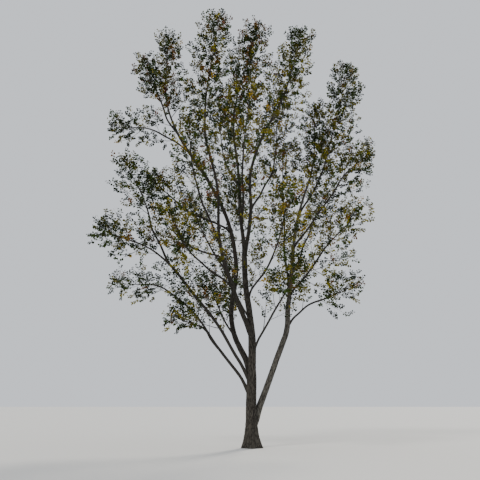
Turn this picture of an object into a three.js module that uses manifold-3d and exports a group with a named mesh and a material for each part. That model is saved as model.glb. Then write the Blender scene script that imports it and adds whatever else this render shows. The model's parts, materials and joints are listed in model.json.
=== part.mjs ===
// A tall open-crowned poplar: a low-forking clump whose leader, second stem and boughs each end in one plume
// of foliage.
// Millimetres, +Z up. The origin is the centre of the flat cut under the trunk, at ground level.
// +X is the right side of the tree in the usual view and +Y is the side away from the viewer.
import * as THREE from "three";
import { mergeVertices } from "three/addons/utils/BufferGeometryUtils.js";
import Module from "manifold-3d";

// Driving sizes.
// Each limb leaves the limb named by "on" at the height "at". Its tip lies at a bearing (degrees from +X
// towards +Y), a reach from the trunk's foot and a height. "leave" and "arrive" are its slopes at its ends, in
// degrees above level, and "bends" are places on its way, given like the tip. The plume that it carries
// runs on to a point given the same way. It is "broad" to each side where it starts, and "narrow" at its end.
// "tint" is the autumn colour that most of its leaves have.
const LIMBS = [
  {
    name: "trunk",
    bearing: 180, reach: 690, height: 12800, leave: 90, arrive: 84, tip: 56,
    bends: [
      { bearing: 180, reach: 100, height: 4000 },
      { bearing: 180, reach: 205, height: 6200 },
      { bearing: 180, reach: 150, height: 8000 },
      { bearing: 180, reach: 370, height: 9600 },
    ],
    plume: {
      name: "crown_top", tint: "bronze",
      bearing: 0, reach: 350, height: 19500, broad: 1250, narrow: 850,
    },
  },
  {
    name: "second_stem", on: "trunk", at: 850,
    bearing: 26, reach: 3100, height: 11600, leave: 58, arrive: 70, tip: 52,
    bends: [
      { bearing: 22, reach: 1440, height: 4200 },
      { bearing: 25, reach: 1580, height: 5700 },
      { bearing: 28, reach: 2230, height: 8200 },
    ],
    plume: {
      name: "right_middle", tint: "olive",
      bearing: 26, reach: 3650, height: 15700, broad: 1300, narrow: 850,
    },
  },
  {
    name: "left_lowest_bough", on: "trunk", at: 2100,
    bearing: 159, reach: 4100, height: 6500, leave: 47, arrive: 32,
    plume: {
      name: "left_lowest", tint: "green",
      bearing: 166, reach: 6500, height: 6900, broad: 820, narrow: 600,
    },
  },
  {
    name: "left_low_bough", on: "trunk", at: 2600,
    bearing: 201, reach: 4100, height: 7350, leave: 48, arrive: 34,
    plume: {
      name: "left_low", tint: "green",
      bearing: 194, reach: 6350, height: 8450, broad: 1100, narrow: 900,
    },
  },
  {
    name: "far_left_bough", on: "trunk", at: 2800,
    bearing: 168, reach: 3760, height: 14450, leave: 62, arrive: 66, tip: 50,
    bends: [
      { bearing: 144, reach: 930, height: 4700 },
      { bearing: 122, reach: 1080, height: 7600 },
      { bearing: 153, reach: 2130, height: 11290 },
    ],
    plume: {
      name: "top_left", tint: "bronze",
      bearing: 169, reach: 4180, height: 19600, broad: 1400, narrow: 700,
    },
  },
  {
    name: "front_low_bough", on: "trunk", at: 3650,
    bearing: 300, reach: 2050, height: 5250, leave: 35, arrive: 35,
    plume: {
      name: "front_low", tint: "olive",
      bearing: 295, reach: 3850, height: 6650, broad: 950, narrow: 780,
    },
  },
  {
    name: "high_left_bough", on: "trunk", at: 4350,
    bearing: 212, reach: 2330, height: 12900, leave: 48, arrive: 86, tip: 50,
    bends: [{ bearing: 224, reach: 1370, height: 7100 }, { bearing: 216, reach: 2030, height: 11000 }],
    plume: {
      name: "high_left", tint: "bronze",
      bearing: 221, reach: 1960, height: 18900, broad: 1250, narrow: 820,
    },
  },
  {
    name: "back_low_bough", on: "trunk", at: 4900,
    bearing: 108, reach: 2000, height: 6350, leave: 35, arrive: 48,
    plume: {
      name: "back_low", tint: "green",
      bearing: 110, reach: 3500, height: 8550, broad: 1150, narrow: 900,
    },
  },
  {
    name: "front_right_bough", on: "trunk", at: 5850,
    bearing: 293, reach: 2050, height: 7050, leave: 32, arrive: 42,
    plume: {
      name: "front_right", tint: "gold",
      bearing: 293, reach: 3700, height: 9600, broad: 1300, narrow: 1000,
    },
  },
  {
    name: "high_right_bough", on: "trunk", at: 7700,
    bearing: 317, reach: 1340, height: 13700, leave: 60, arrive: 62, tip: 56,
    bends: [{ bearing: 270, reach: 620, height: 9600 }, { bearing: 275, reach: 800, height: 11400 }],
    plume: {
      name: "high_right", tint: "olive",
      bearing: 336, reach: 2650, height: 18200, broad: 1200, narrow: 750,
    },
  },
  {
    name: "back_middle_bough", on: "trunk", at: 7900,
    bearing: 100, reach: 2400, height: 10000, leave: 40, arrive: 55,
    plume: {
      name: "back_middle", tint: "olive",
      bearing: 99, reach: 3900, height: 12900, broad: 1400, narrow: 1100,
    },
  },
  {
    name: "front_middle_bough", on: "trunk", at: 8800,
    bearing: 262, reach: 2500, height: 10800, leave: 38, arrive: 52,
    plume: {
      name: "front_middle", tint: "gold",
      bearing: 270, reach: 3900, height: 13700, broad: 1350, narrow: 1050,
    },
  },
  {
    name: "back_high_bough", on: "trunk", at: 10800,
    bearing: 124, reach: 2250, height: 13200, leave: 48, arrive: 62,
    plume: {
      name: "back_high", tint: "olive",
      bearing: 120, reach: 3100, height: 17200, broad: 1300, narrow: 950,
    },
  },
  {
    name: "right_back_bough", on: "second_stem", at: 5750,
    bearing: 56, reach: 3000, height: 10600, leave: 68, arrive: 80,
    plume: {
      name: "right_back", tint: "gold",
      bearing: 62, reach: 3800, height: 14500, broad: 1300, narrow: 1000,
    },
  },
  {
    name: "right_lowest_bough", on: "second_stem", at: 4800,
    bearing: 20, reach: 3200, height: 5900, leave: 42, arrive: 18,
    plume: {
      name: "right_lowest", tint: "green",
      bearing: 15, reach: 4900, height: 6900, broad: 1000, narrow: 800,
    },
  },
  {
    name: "right_low_bough", on: "second_stem", at: 6100,
    bearing: 342, reach: 3000, height: 7450, leave: 30, arrive: 42,
    plume: {
      name: "right_low", tint: "gold",
      bearing: 342, reach: 4700, height: 9250, broad: 1250, narrow: 950,
    },
  },
  {
    name: "back_right_bough", on: "second_stem", at: 7100,
    bearing: 42, reach: 3900, height: 9500, leave: 42, arrive: 52,
    plume: {
      name: "back_right", tint: "olive",
      bearing: 42, reach: 5250, height: 12000, broad: 1300, narrow: 1000,
    },
  },
  {
    name: "right_side_bough", on: "second_stem", at: 8350,
    bearing: 3, reach: 3980, height: 11050, leave: 44, arrive: 60,
    bends: [{ bearing: 8, reach: 3130, height: 9780 }],
    plume: {
      name: "right_side", tint: "olive",
      bearing: 1, reach: 5650, height: 12850, broad: 1350, narrow: 950,
    },
  },
  {
    name: "top_right_bough", on: "second_stem", at: 9900,
    bearing: 14, reach: 3650, height: 12400, leave: 58, arrive: 74,
    plume: {
      name: "top_right", tint: "green",
      bearing: 9, reach: 5000, height: 17600, broad: 1250, narrow: 820,
    },
  },
  {
    name: "right_inner_bough", on: "high_right_bough", at: 9500,
    bearing: 49, reach: 1750, height: 12400, leave: 56, arrive: 68,
    plume: {
      name: "right_inner", tint: "gold",
      bearing: 50, reach: 2300, height: 16200, broad: 1200, narrow: 850,
    },
  },
  {
    name: "left_inner_bough", on: "high_left_bough", at: 6200,
    bearing: 219, reach: 2750, height: 7000, leave: 18, arrive: 30,
    plume: {
      name: "left_inner", tint: "gold",
      bearing: 223, reach: 4400, height: 8900, broad: 1100, narrow: 880,
    },
  },
  {
    name: "left_middle_bough", on: "high_left_bough", at: 7300,
    bearing: 187, reach: 2500, height: 7900, leave: 20, arrive: 32,
    plume: {
      name: "left_middle", tint: "gold",
      bearing: 182, reach: 4000, height: 9500, broad: 1000, narrow: 800,
    },
  },
  {
    name: "front_left_bough", on: "high_left_bough", at: 7800,
    bearing: 232, reach: 3500, height: 9800, leave: 38, arrive: 55,
    plume: {
      name: "front_left", tint: "olive",
      bearing: 238, reach: 4600, height: 12200, broad: 1150, narrow: 920,
    },
  },
  {
    name: "inner_low_bough", on: "far_left_bough", at: 4300,
    bearing: 130, reach: 2000, height: 5400, leave: 34, arrive: 50,
    plume: {
      name: "inner_low", tint: "green",
      bearing: 129, reach: 3250, height: 7450, broad: 1000, narrow: 750,
    },
  },
  {
    name: "back_left_bough", on: "far_left_bough", at: 6600,
    bearing: 128, reach: 3400, height: 9200, leave: 46, arrive: 54,
    plume: {
      name: "back_left", tint: "olive",
      bearing: 130, reach: 4900, height: 11900, broad: 1350, narrow: 1000,
    },
  },
  {
    name: "left_shoulder_bough", on: "far_left_bough", at: 9000,
    bearing: 191, reach: 3200, height: 9800, leave: 22, arrive: 36,
    plume: {
      name: "left_shoulder", tint: "green",
      bearing: 192, reach: 4450, height: 10900, broad: 950, narrow: 780,
    },
  },
  {
    name: "left_arm_bough", on: "far_left_bough", at: 13000,
    bearing: 174, reach: 4500, height: 13850, leave: 34, arrive: 20,
    plume: {
      name: "left_arm", tint: "green",
      bearing: 176, reach: 6750, height: 14150, broad: 880, narrow: 740,
    },
  },
  {
    name: "left_crest_bough", on: "far_left_bough", at: 13900,
    bearing: 169, reach: 4450, height: 15800, leave: 48, arrive: 70,
    plume: {
      name: "left_crest", tint: "bronze",
      bearing: 171, reach: 5500, height: 18250, broad: 800, narrow: 550,
    },
  },
  {
    name: "left_side_bough", on: "left_low_bough", at: 6900,
    bearing: 204, reach: 4470, height: 8750, leave: 58, arrive: 74,
    plume: {
      name: "left_side", tint: "green",
      bearing: 202, reach: 5600, height: 11300, broad: 1150, narrow: 850,
    },
  },
  {
    name: "left_foot_bough", on: "left_lowest_bough", at: 3800,
    bearing: 180, reach: 2050, height: 4600, leave: 26, arrive: 18,
    plume: {
      name: "left_foot", tint: "green",
      bearing: 180, reach: 3400, height: 5150, broad: 760, narrow: 600,
    },
  },
];

// Wood, in millimetres. A limb is as thick as what it still has to carry.
const WOOD = {
  tip: 38, // radius of a limb's tip, where its plume begins
  taper: 0.0024, // radius gained for each millimetre back from the tip
  carried: 0.7, // share of each bough's section that its parent gains below it
  forkBlend: 700, // height over which a parent thickens below a bough
  pull: 0.38, // how far the slopes at the two ends of a limb hold, as a share of its length
  crook: 0.012, // sideways waver, as a share of a limb's length
  boughSides: 7,
  trunkSides: 14,
  cutDepth: 60, // how far below ground the trunk's line begins, to be cut off flat at ground level
  ringStep: 1500, // length of limb to each ring of faces
  fewestRings: 3,
};
const FLARE = { height: 420, width: 0.75, lobes: 5, lobeDepth: 0.3 }; // the root flare at the trunk's foot
const TRUNK_RINGS = 18;
const TRUNK_RING_CROWDING = 1.7; // over 1 crowds the trunk's rings towards its foot

// Foliage. Each leaf here is one large blade that stands for a spray.
const LEAF = {
  length: 0.75, // as a share of its plume's broad half-width
  width: 0.84, // this and the next three as shares of its length
  fold: 0.045,
  widestAt: 0.38,
  apart: 0.3, // least distance between the middles of two leaves
  sharedRoot: 0.15, // how much of a rim may cross another leaf at its root, where pairs grow together
  firstPair: 0.42, // from a twig's tip back to the first pair of leaves, in leaf lengths
  nextPair: 0.95, // from each pair to the next
  swing: 58, // degrees between a leaf and its twig
  roll: 0.3, // the most that a leaf rolls out of its twig's flat spray, in radians
  sizes: [1, 0.82, 0.66], // a leaf that would leave its plume's space is tried smaller, then skipped
  sunk: 50, // how far back along its twig a leaf is rooted
};
const TWIGS = {
  fewest: 4,
  perMetre: 1.0, // twigs for each metre of a plume's axis, over the fewest
  from: 0.03, // shares of the stem between which they leave it
  to: 0.92,
  spread: [78, 36], // degrees from the stem, low on it and high on it
  lift: 0.2, // how much they turn upward
  roll: 1.2, // the most that a twig's flat spray rolls about it, in radians
  shy: 0.9, // how far short of the skin they end, in leaf lengths
  shortest: 0.4, // as a share of the room that they have
  root: 0.4, // radius at the root, as a share of the stem's there
  tip: 9,
  sides: 3,
  rings: 1,
};
const STEM = { pull: 0.4, rings: 3, end: 18, inset: 0.88, shy: 1 };

const GAP = 0.3; // between touching pieces
const CUT_GAP = 0.36; // grows a parent before it cuts its bough, so that its flat sides leave the gap too
const CELL_MARGIN = 0.03; // share of a plume's size kept free towards its neighbours
const LIMB_MARGIN = 18; // least room between a twig or leaf and a limb
const SAMPLES = 26; // points along a limb where room is measured
const WELD = 1e-3;

const GOLDEN = (Math.sqrt(5) - 1) / 2;
const GOLDEN_ANGLE = 2 * Math.PI * (1 - GOLDEN);
const UP = new THREE.Vector3(0, 0, 1);

const BARK = { color: 0x5d554a, roughness: 0.95, metalness: 0 };
const FOLIAGE = { roughness: 0.6, metalness: 0, flatShading: true };
const TINTS = { green: 0x39491c, olive: 0x59631f, gold: 0x8a8630, bronze: 0x77552a };

const wasm = await Module();
wasm.setup();
const { Manifold } = wasm;
const radians = THREE.MathUtils.degToRad;
const mix = THREE.MathUtils.lerp;

/** A repeatable stream of numbers from 0 to 1. */
function seeded(seed) {
  let state = seed >>> 0;
  return () => {
    state = (state + 0x6d2b79f5) >>> 0;
    let mixed = Math.imul(state ^ (state >>> 15), 1 | state);
    mixed = (mixed + Math.imul(mixed ^ (mixed >>> 7), 61 | mixed)) ^ mixed;
    return ((mixed ^ (mixed >>> 14)) >>> 0) / 4294967296;
  };
}

/** The point at a bearing, a reach from the trunk's foot and a height. */
function placed({ bearing, reach, height }) {
  const turn = radians(bearing);
  return new THREE.Vector3(reach * Math.cos(turn), reach * Math.sin(turn), height);
}

/** A unit vector over a level heading, at a slope in degrees. */
function sloped(heading, slope) {
  const rise = radians(slope);
  return new THREE.Vector3(heading.x * Math.cos(rise), heading.y * Math.cos(rise), Math.sin(rise));
}

/** A smooth curve from one point to another that leaves and arrives along two directions. */
function arc(start, leave, end, arrive, pull) {
  const hold = start.distanceTo(end) * pull;
  return new THREE.CubicBezierCurve3(
    start,
    start.clone().addScaledVector(leave, hold),
    end.clone().addScaledVector(arrive, -hold),
    end,
  );
}

/** The share of the way along a line at which it reaches a height. */
function shareAtHeight(line, height) {
  let low = 0;
  let high = 1;
  for (let step = 0; step < 30; step++) {
    const middle = (low + high) / 2;
    if (line.at(middle).z < height) low = middle;
    else high = middle;
  }
  return low;
}

/** The level direction from one point to another. */
function levelHeading(from, to) {
  return to.clone().sub(from).setZ(0).normalize();
}

/** A smooth curve from a start through a limb's bends to its tip, one arc between each two of them. */
function limbCurve(row, start) {
  const knots = [start, ...(row.bends ?? []).map(placed), placed(row)];
  const last = knots.length - 1;
  const directions = knots.map((knot, index) => {
    if (index === 0) return sloped(levelHeading(start, knots[1]), row.leave);
    if (index === last) return sloped(levelHeading(knots[last - 1], knot), row.arrive);
    return knots[index + 1].clone().sub(knots[index - 1]).normalize();
  });
  const curve = new THREE.CurvePath();
  for (let index = 0; index < last; index++) {
    curve.add(arc(knots[index], directions[index], knots[index + 1], directions[index + 1], WOOD.pull));
  }
  return curve;
}

/** A limb's line: its curve with a slight waver, which dies away at both ends. */
function limbLine(row, parent) {
  const foot = new THREE.Vector3(0, 0, -WOOD.cutDepth);
  const start = parent ? parent.line.at(shareAtHeight(parent.line, row.at)) : foot;
  const curve = limbCurve(row, start);
  const heading = levelHeading(start, placed(row));
  const side = new THREE.Vector3(-heading.y, heading.x, 0);
  const length = curve.getLength();
  const sway = length * WOOD.crook;
  const phase = radians(row.bearing + row.height);
  const at = (share) => {
    const fade = Math.sin(Math.PI * share);
    const point = curve.getPoint(share);
    point.addScaledVector(side, sway * fade * Math.sin(7 * share + phase));
    return point.addScaledVector(heading, sway * fade * Math.cos(9 * share + phase));
  };
  return { at, side, length };
}

/** The direction of a line at a share of its length. */
function tangent(line, share) {
  const step = 1e-3;
  const from = line.at(Math.max(0, share - step));
  return line.at(Math.min(1, share + step)).sub(from).normalize();
}

/** Two unit vectors square to a line at a share of its length. */
function spokesOf(line, share) {
  const along = tangent(line, share);
  const across = line.side.clone().addScaledVector(along, -line.side.dot(along)).normalize();
  return { along, across, over: across.clone().cross(along) };
}

/** The radius of a limb: its own taper, and a share of every bough that leaves it further up. */
function limbRadius(limb, share) {
  const own = limb.tip + WOOD.taper * limb.line.length * (1 - share);
  let section = own * own;
  for (const bough of limb.boughs) {
    const below = (bough.leavesAt - share) * limb.line.length;
    const part = THREE.MathUtils.smoothstep(below, -WOOD.forkBlend / 2, WOOD.forkBlend / 2);
    section += WOOD.carried * part * bough.root * bough.root;
  }
  return Math.sqrt(section);
}

/** How much wider the trunk is at a height and an angle round it: the root flare and its lobes. */
function flare(height, angle) {
  const strength = Math.exp(-height / FLARE.height);
  return 1 + FLARE.width * strength * (1 + FLARE.lobeDepth * Math.cos(FLARE.lobes * angle));
}

/** A closed three.js geometry as a solid that can be joined and cut. */
function toSolid(geometry) {
  geometry.deleteAttribute("normal");
  geometry.deleteAttribute("uv");
  const merged = mergeVertices(geometry, WELD);
  const vertProperties = merged.attributes.position.array;
  const triVerts = new Uint32Array(merged.index.array);
  return new Manifold(new wasm.Mesh({ numProp: 3, vertProperties, triVerts }));
}

/** A solid as a three.js geometry, moved so that a given point is its origin. */
function toGeometry(solid, origin) {
  const mesh = solid.getMesh();
  const geometry = new THREE.BufferGeometry();
  geometry.setAttribute("position", new THREE.BufferAttribute(new Float32Array(mesh.vertProperties), 3));
  geometry.setIndex(new THREE.BufferAttribute(new Uint32Array(mesh.triVerts), 1));
  geometry.translate(-origin.x, -origin.y, -origin.z);
  geometry.computeVertexNormals();
  return geometry;
}

/** A round solid bent along a line: a cylinder whose rings are set across the line, each with its radius. */
function bentSolid({ line, radius, sides, rings, crowding = 1 }) {
  const geometry = new THREE.CylinderGeometry(1, 1, 1, sides, rings);
  const position = geometry.attributes.position;
  const spoke = new THREE.Vector3();
  for (let index = 0; index < position.count; index++) {
    spoke.set(position.getX(index), 0, position.getZ(index));
    const share = Math.pow(position.getY(index) + 0.5, crowding);
    const { across, over } = spokesOf(line, share);
    const centre = line.at(share);
    if (spoke.length() > 1e-6) {
      const angle = Math.atan2(spoke.z, spoke.x);
      const out = radius(share, angle);
      centre.addScaledVector(across, out * Math.cos(angle)).addScaledVector(over, out * Math.sin(angle));
    }
    position.setXYZ(index, centre.x, centre.y, centre.z);
  }
  return toSolid(geometry);
}

/** A limb's solid, grown by a little where it is to cut another. */
function limbSolid(limb, grown = 0) {
  const isTrunk = !limb.parent;
  const radius = (share, angle) =>
    (isTrunk ? flare(limb.line.at(share).z, angle) : 1) * limbRadius(limb, share) + grown;
  if (isTrunk) {
    const shape = { sides: WOOD.trunkSides, rings: TRUNK_RINGS, crowding: TRUNK_RING_CROWDING };
    return bentSolid({ line: limb.line, radius, ...shape }).trimByPlane([0, 0, 1], 0);
  }
  const rings = Math.max(WOOD.fewestRings, Math.round(limb.line.length / WOOD.ringStep));
  return bentSolid({ line: limb.line, radius, sides: WOOD.boughSides, rings });
}

/** The largest body of a solid, without the hollows and loose scraps that joining or cutting can leave. */
function mainBody(solid) {
  return solid.decompose().reduce((best, body) => (body.volume() > best.volume() ? body : best));
}

/** The space of a plume: a rounded spindle round the line from its limb's tip to its own far end. */
function plumeSpace(limb) {
  const { broad, narrow } = limb.plume;
  const start = limb.line.at(1);
  const end = placed(limb.plume);
  const axis = end.clone().sub(start);
  const length = axis.length();
  axis.normalize();
  return {
    low: start.clone().addScaledVector(axis, Math.min(broad * 0.8, length * 0.4)),
    high: end.clone().addScaledVector(axis, -narrow),
    broad,
    narrow,
    length,
  };
}

/** How far out a point lies in a plume's space: 0 on its axis, and 1 on its skin. */
function depthIn(space, point) {
  const axis = space.high.clone().sub(space.low);
  const share = THREE.MathUtils.clamp(point.clone().sub(space.low).dot(axis) / axis.lengthSq(), 0, 1);
  const nearest = space.low.clone().addScaledVector(axis, share);
  return point.distanceTo(nearest) / mix(space.broad, space.narrow, share);
}

/** Whether a point is in a plume's space, and further into it than into any other. */
function belongs(limb, limbs, point) {
  const own = depthIn(limb.space, point);
  if (own >= 1) return false;
  return limbs.every((other) => other === limb || depthIn(other.space, point) > own + CELL_MARGIN);
}

/** Whether a ball round a point keeps clear of every limb. */
function clearOfLimbs(limbs, point, radius) {
  return limbs.every((limb) =>
    limb.samples.every((sample) => point.distanceTo(sample.point) > sample.radius + radius + LIMB_MARGIN),
  );
}

/** The points where room is measured along a limb, each with a radius that reaches halfway to the next. */
function limbSamples(limb) {
  const step = limb.line.length / SAMPLES;
  return Array.from({ length: SAMPLES + 1 }, (_, index) => {
    const share = index / SAMPLES;
    const radius = limbRadius(limb, share);
    return { point: limb.line.at(share), radius: Math.hypot(radius, step / 2) };
  });
}

/** The corners of a leaf: a kite folded along its length, from its root along its own direction. */
function leafPoints(root, along, across, length) {
  const over = along.clone().cross(across);
  const point = (share, side, rise) =>
    root
      .clone()
      .addScaledVector(along, share * length)
      .addScaledVector(across, (side * LEAF.width * length) / 2)
      .addScaledVector(over, rise * LEAF.fold * length);
  return {
    root,
    tip: point(1, 0, 0),
    left: point(LEAF.widestAt, 1, 1),
    right: point(LEAF.widestAt, -1, 1),
    middle: point(LEAF.widestAt, 0, 0),
    length,
  };
}

/** The solid of a leaf: a tetrahedron whose four corners are moved to the leaf's own. */
function leafSolid({ root, tip, left, right }) {
  const geometry = new THREE.TetrahedronGeometry(1);
  const position = geometry.attributes.position;
  const corner = new THREE.Vector3();
  for (let index = 0; index < position.count; index++) {
    corner.fromBufferAttribute(position, index);
    const isEnd = corner.x * corner.y > 0;
    const place = isEnd ? (corner.x > 0 ? tip : root) : corner.x > 0 ? left : right;
    position.setXYZ(index, place.x, place.y, place.z);
  }
  return toSolid(geometry);
}

/** The line of a plume's stem: on from its limb's tip, across the gap, and up to its own far end. */
function stemLine(limb) {
  const leave = tangent(limb.line, 1);
  const start = limb.line.at(1).addScaledVector(leave, GAP);
  const axis = placed(limb.plume).sub(start);
  const end = start.clone().addScaledVector(axis, 1 - (STEM.shy * limb.leaf) / axis.length());
  const arrive = axis.normalize().addScaledVector(UP, TWIGS.lift).normalize();
  const curve = arc(start, leave, end, arrive, STEM.pull);
  return { at: (share) => curve.getPoint(share), side: limb.line.side, length: curve.getLength() };
}

/** How far a twig may run from a point before it leaves its plume's space or meets a limb. */
function roomAlong(limb, limbs, start, direction) {
  const step = 60;
  let length = step;
  const probe = start.clone();
  while (length < 4 * limb.plume.broad) {
    probe.copy(start).addScaledVector(direction, length);
    if (!belongs(limb, limbs, probe) || !clearOfLimbs(limbs, probe, limb.tip)) break;
    length += step;
  }
  return length - step;
}

/** The direction in which a twig leaves its stem at a share of its length and an angle round it. */
function twigDirection(stem, share, turn, vary) {
  const { along, across, over } = spokesOf(stem, share);
  const spread = radians(mix(...TWIGS.spread, share)) * vary;
  const out = across.multiplyScalar(Math.cos(turn)).addScaledVector(over, Math.sin(turn));
  const leave = along.multiplyScalar(Math.cos(spread)).addScaledVector(out, Math.sin(spread));
  return leave.addScaledVector(UP, TWIGS.lift).normalize();
}

/** The twigs of a plume: they leave its stem in turn round the golden angle and end short of its skin. */
function twigLines(limb, limbs, stem, random) {
  const twigs = [];
  const count = TWIGS.fewest + Math.round((TWIGS.perMetre * limb.space.length) / 1000);
  const first = 2 * Math.PI * random();
  for (let index = 0; index < count; index++) {
    const share = mix(TWIGS.from, TWIGS.to, (index + 0.5) / count);
    const leave = twigDirection(stem, share, first + index * GOLDEN_ANGLE, mix(0.85, 1.15, random()));
    const start = stem.at(share);
    const room = roomAlong(limb, limbs, start, leave);
    const length = Math.max(room * TWIGS.shortest, room - TWIGS.shy * limb.leaf);
    if (length < limb.leaf / 4) continue;
    const end = start.clone().addScaledVector(leave, length);
    const side = new THREE.Vector3(-leave.y, leave.x, 0).normalize();
    const root = stemRadius(limb, share) * TWIGS.root;
    twigs.push({ at: (part) => start.clone().lerp(end, part), side, length, root });
  }
  return twigs;
}

/** The radius of a plume's stem. */
function stemRadius(limb, share) {
  return mix(limb.tip * STEM.inset, STEM.end, share);
}

/** Whether the straight way between two points passes through a leaf. */
function passesThrough(from, to, leaf) {
  const way = to.clone().sub(from);
  const ray = new THREE.Ray(from, way.clone().normalize());
  return [leaf.left, leaf.right].some((corner) => {
    const hit = ray.intersectTriangle(leaf.root, corner, leaf.tip, false, new THREE.Vector3());
    return hit !== null && hit.distanceTo(from) < way.length();
  });
}

/** Whether two leaves cross, or lie too near each other. */
function clash(leaf, other) {
  const apart = LEAF.apart * Math.max(leaf.length, other.length);
  if (leaf.middle.distanceTo(other.middle) < apart) return true;
  return [[leaf, other], [other, leaf]].some(([one, two]) => {
    const sides = [one.left, one.right];
    const [low, high] = sides.map((corner) => one.root.clone().lerp(corner, LEAF.sharedRoot));
    const rim = [low, one.left, one.tip, one.right, high];
    return rim.slice(1).some((corner, index) => passesThrough(rim[index], corner, two));
  });
}

/** Whether a leaf lies in its plume's space and clear of the limbs, the other leaves and the other twigs. */
function fits(leaf, line, plume) {
  const { limb, limbs, leaves, lines } = plume;
  const { tip, left, right, middle } = leaf;
  const edges = [left, right].map((corner) => corner.clone().lerp(tip, 0.5));
  const probes = [tip, left, right, middle, ...edges];
  return (
    probes.every((point) => belongs(limb, limbs, point) && clearOfLimbs(limbs, point, 0)) &&
    !leaves.some((other) => clash(leaf, other)) &&
    !lines.some((other) => other !== line && passesThrough(other.at(0), other.at(1), leaf))
  );
}

/** Adds to a plume the largest leaf that fits at a place along a line, to one side of it or straight on. */
function addLeaf(plume, line, share, side, roll) {
  const along = tangent(line, share);
  const flat = along.clone().cross(UP).normalize().applyAxisAngle(along, roll);
  const swing = radians(LEAF.swing) * side;
  const direction = along.clone().multiplyScalar(Math.cos(swing)).addScaledVector(flat, Math.sin(swing));
  const across = flat.cross(along).cross(direction);
  across.applyAxisAngle(direction, LEAF.roll * mix(-1, 1, plume.random()));
  const root = line.at(share).addScaledVector(along, -LEAF.sunk);
  for (const size of LEAF.sizes) {
    const leaf = leafPoints(root, direction, across, plume.limb.leaf * size);
    if (fits(leaf, line, plume)) {
      plume.leaves.push(leaf);
      return;
    }
  }
}

/** Adds a flat spray of leaves to a twig or stem: one at its tip, and pairs from there back to its root. */
function addSpray(plume, line) {
  const unit = plume.limb.leaf / line.length;
  const roll = TWIGS.roll * mix(-1, 1, plume.random());
  addLeaf(plume, line, 1, 0, roll);
  for (let share = 1 - LEAF.firstPair * unit; share > unit / 4; share -= LEAF.nextPair * unit) {
    addLeaf(plume, line, share, 1, roll);
    addLeaf(plume, line, share, -1, roll);
  }
}

/** A plume: its stem, its twigs and their leaves, fused into one body. */
function plumeSolid(limb, limbs) {
  const random = seeded(Math.round(limb.plume.height + limb.plume.reach));
  const stem = stemLine(limb);
  const twigs = twigLines(limb, limbs, stem, random);
  const plume = { limb, limbs, random, leaves: [], lines: [stem, ...twigs] };
  for (const line of [...twigs, stem]) addSpray(plume, line);
  const { sides } = TWIGS;
  const thickness = (share) => stemRadius(limb, share);
  const wood = [bentSolid({ line: stem, radius: thickness, sides, rings: STEM.rings })];
  for (const twig of twigs) {
    const radius = (share) => mix(twig.root, TWIGS.tip, share);
    wood.push(bentSolid({ line: twig, radius, sides, rings: TWIGS.rings }));
  }
  return mainBody(Manifold.union([...wood, ...plume.leaves.map(leafSolid)]));
}

/** The limbs in the order of the table, each with its parent, line, boughs, radii and its plume's space. */
function growLimbs() {
  const limbs = [];
  for (const row of LIMBS) {
    const parent = limbs.find((limb) => limb.name === row.on);
    const line = limbLine(row, parent);
    const limb = { ...row, parent, line, boughs: [], tip: row.tip ?? WOOD.tip };
    if (parent) {
      limb.leavesAt = shareAtHeight(parent.line, row.at);
      parent.boughs.push(limb);
    }
    limbs.push(limb);
  }
  for (const limb of [...limbs].reverse()) limb.root = limbRadius(limb, 0);
  for (const limb of limbs) {
    limb.space = plumeSpace(limb);
    limb.leaf = LEAF.length * limb.plume.broad;
    limb.samples = limbSamples(limb);
  }
  return limbs;
}

/** The tree as a scene graph: a group for each limb at the point where it leaves its parent. */
function buildTree() {
  const limbs = growLimbs();
  const tree = new THREE.Group();
  for (const limb of limbs) {
    const { parent } = limb;
    const root = limb.line.at(0);
    limb.group = new THREE.Group();
    limb.group.position.copy(parent ? root.clone().sub(parent.line.at(0)) : root);
    (parent ? parent.group : tree).add(limb.group);
    limb.solid = parent ? mainBody(limbSolid(limb).subtract(limbSolid(parent, CUT_GAP))) : limbSolid(limb);
    const wood = new THREE.Mesh(toGeometry(limb.solid, root), new THREE.MeshStandardMaterial(BARK));
    wood.name = limb.name;
    const leafy = new THREE.MeshStandardMaterial({ ...FOLIAGE, color: TINTS[limb.plume.tint] });
    const foliage = new THREE.Mesh(toGeometry(plumeSolid(limb, limbs), root), leafy);
    foliage.name = `foliage_${limb.plume.name}`;
    limb.group.add(wood, foliage);
  }
  return tree;
}

export default buildTree();
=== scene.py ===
"""Looks of a tall open-crowned poplar in early autumn leaf, in metres, +Z up.

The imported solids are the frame. Limbs with bark relief, twigs and leaves grow here by the
same rule as the solids, carried to finer twigs within the same reach, and replace them.
"""

import json
import logging
import math
from dataclasses import dataclass, field, replace
from enum import Enum

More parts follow.
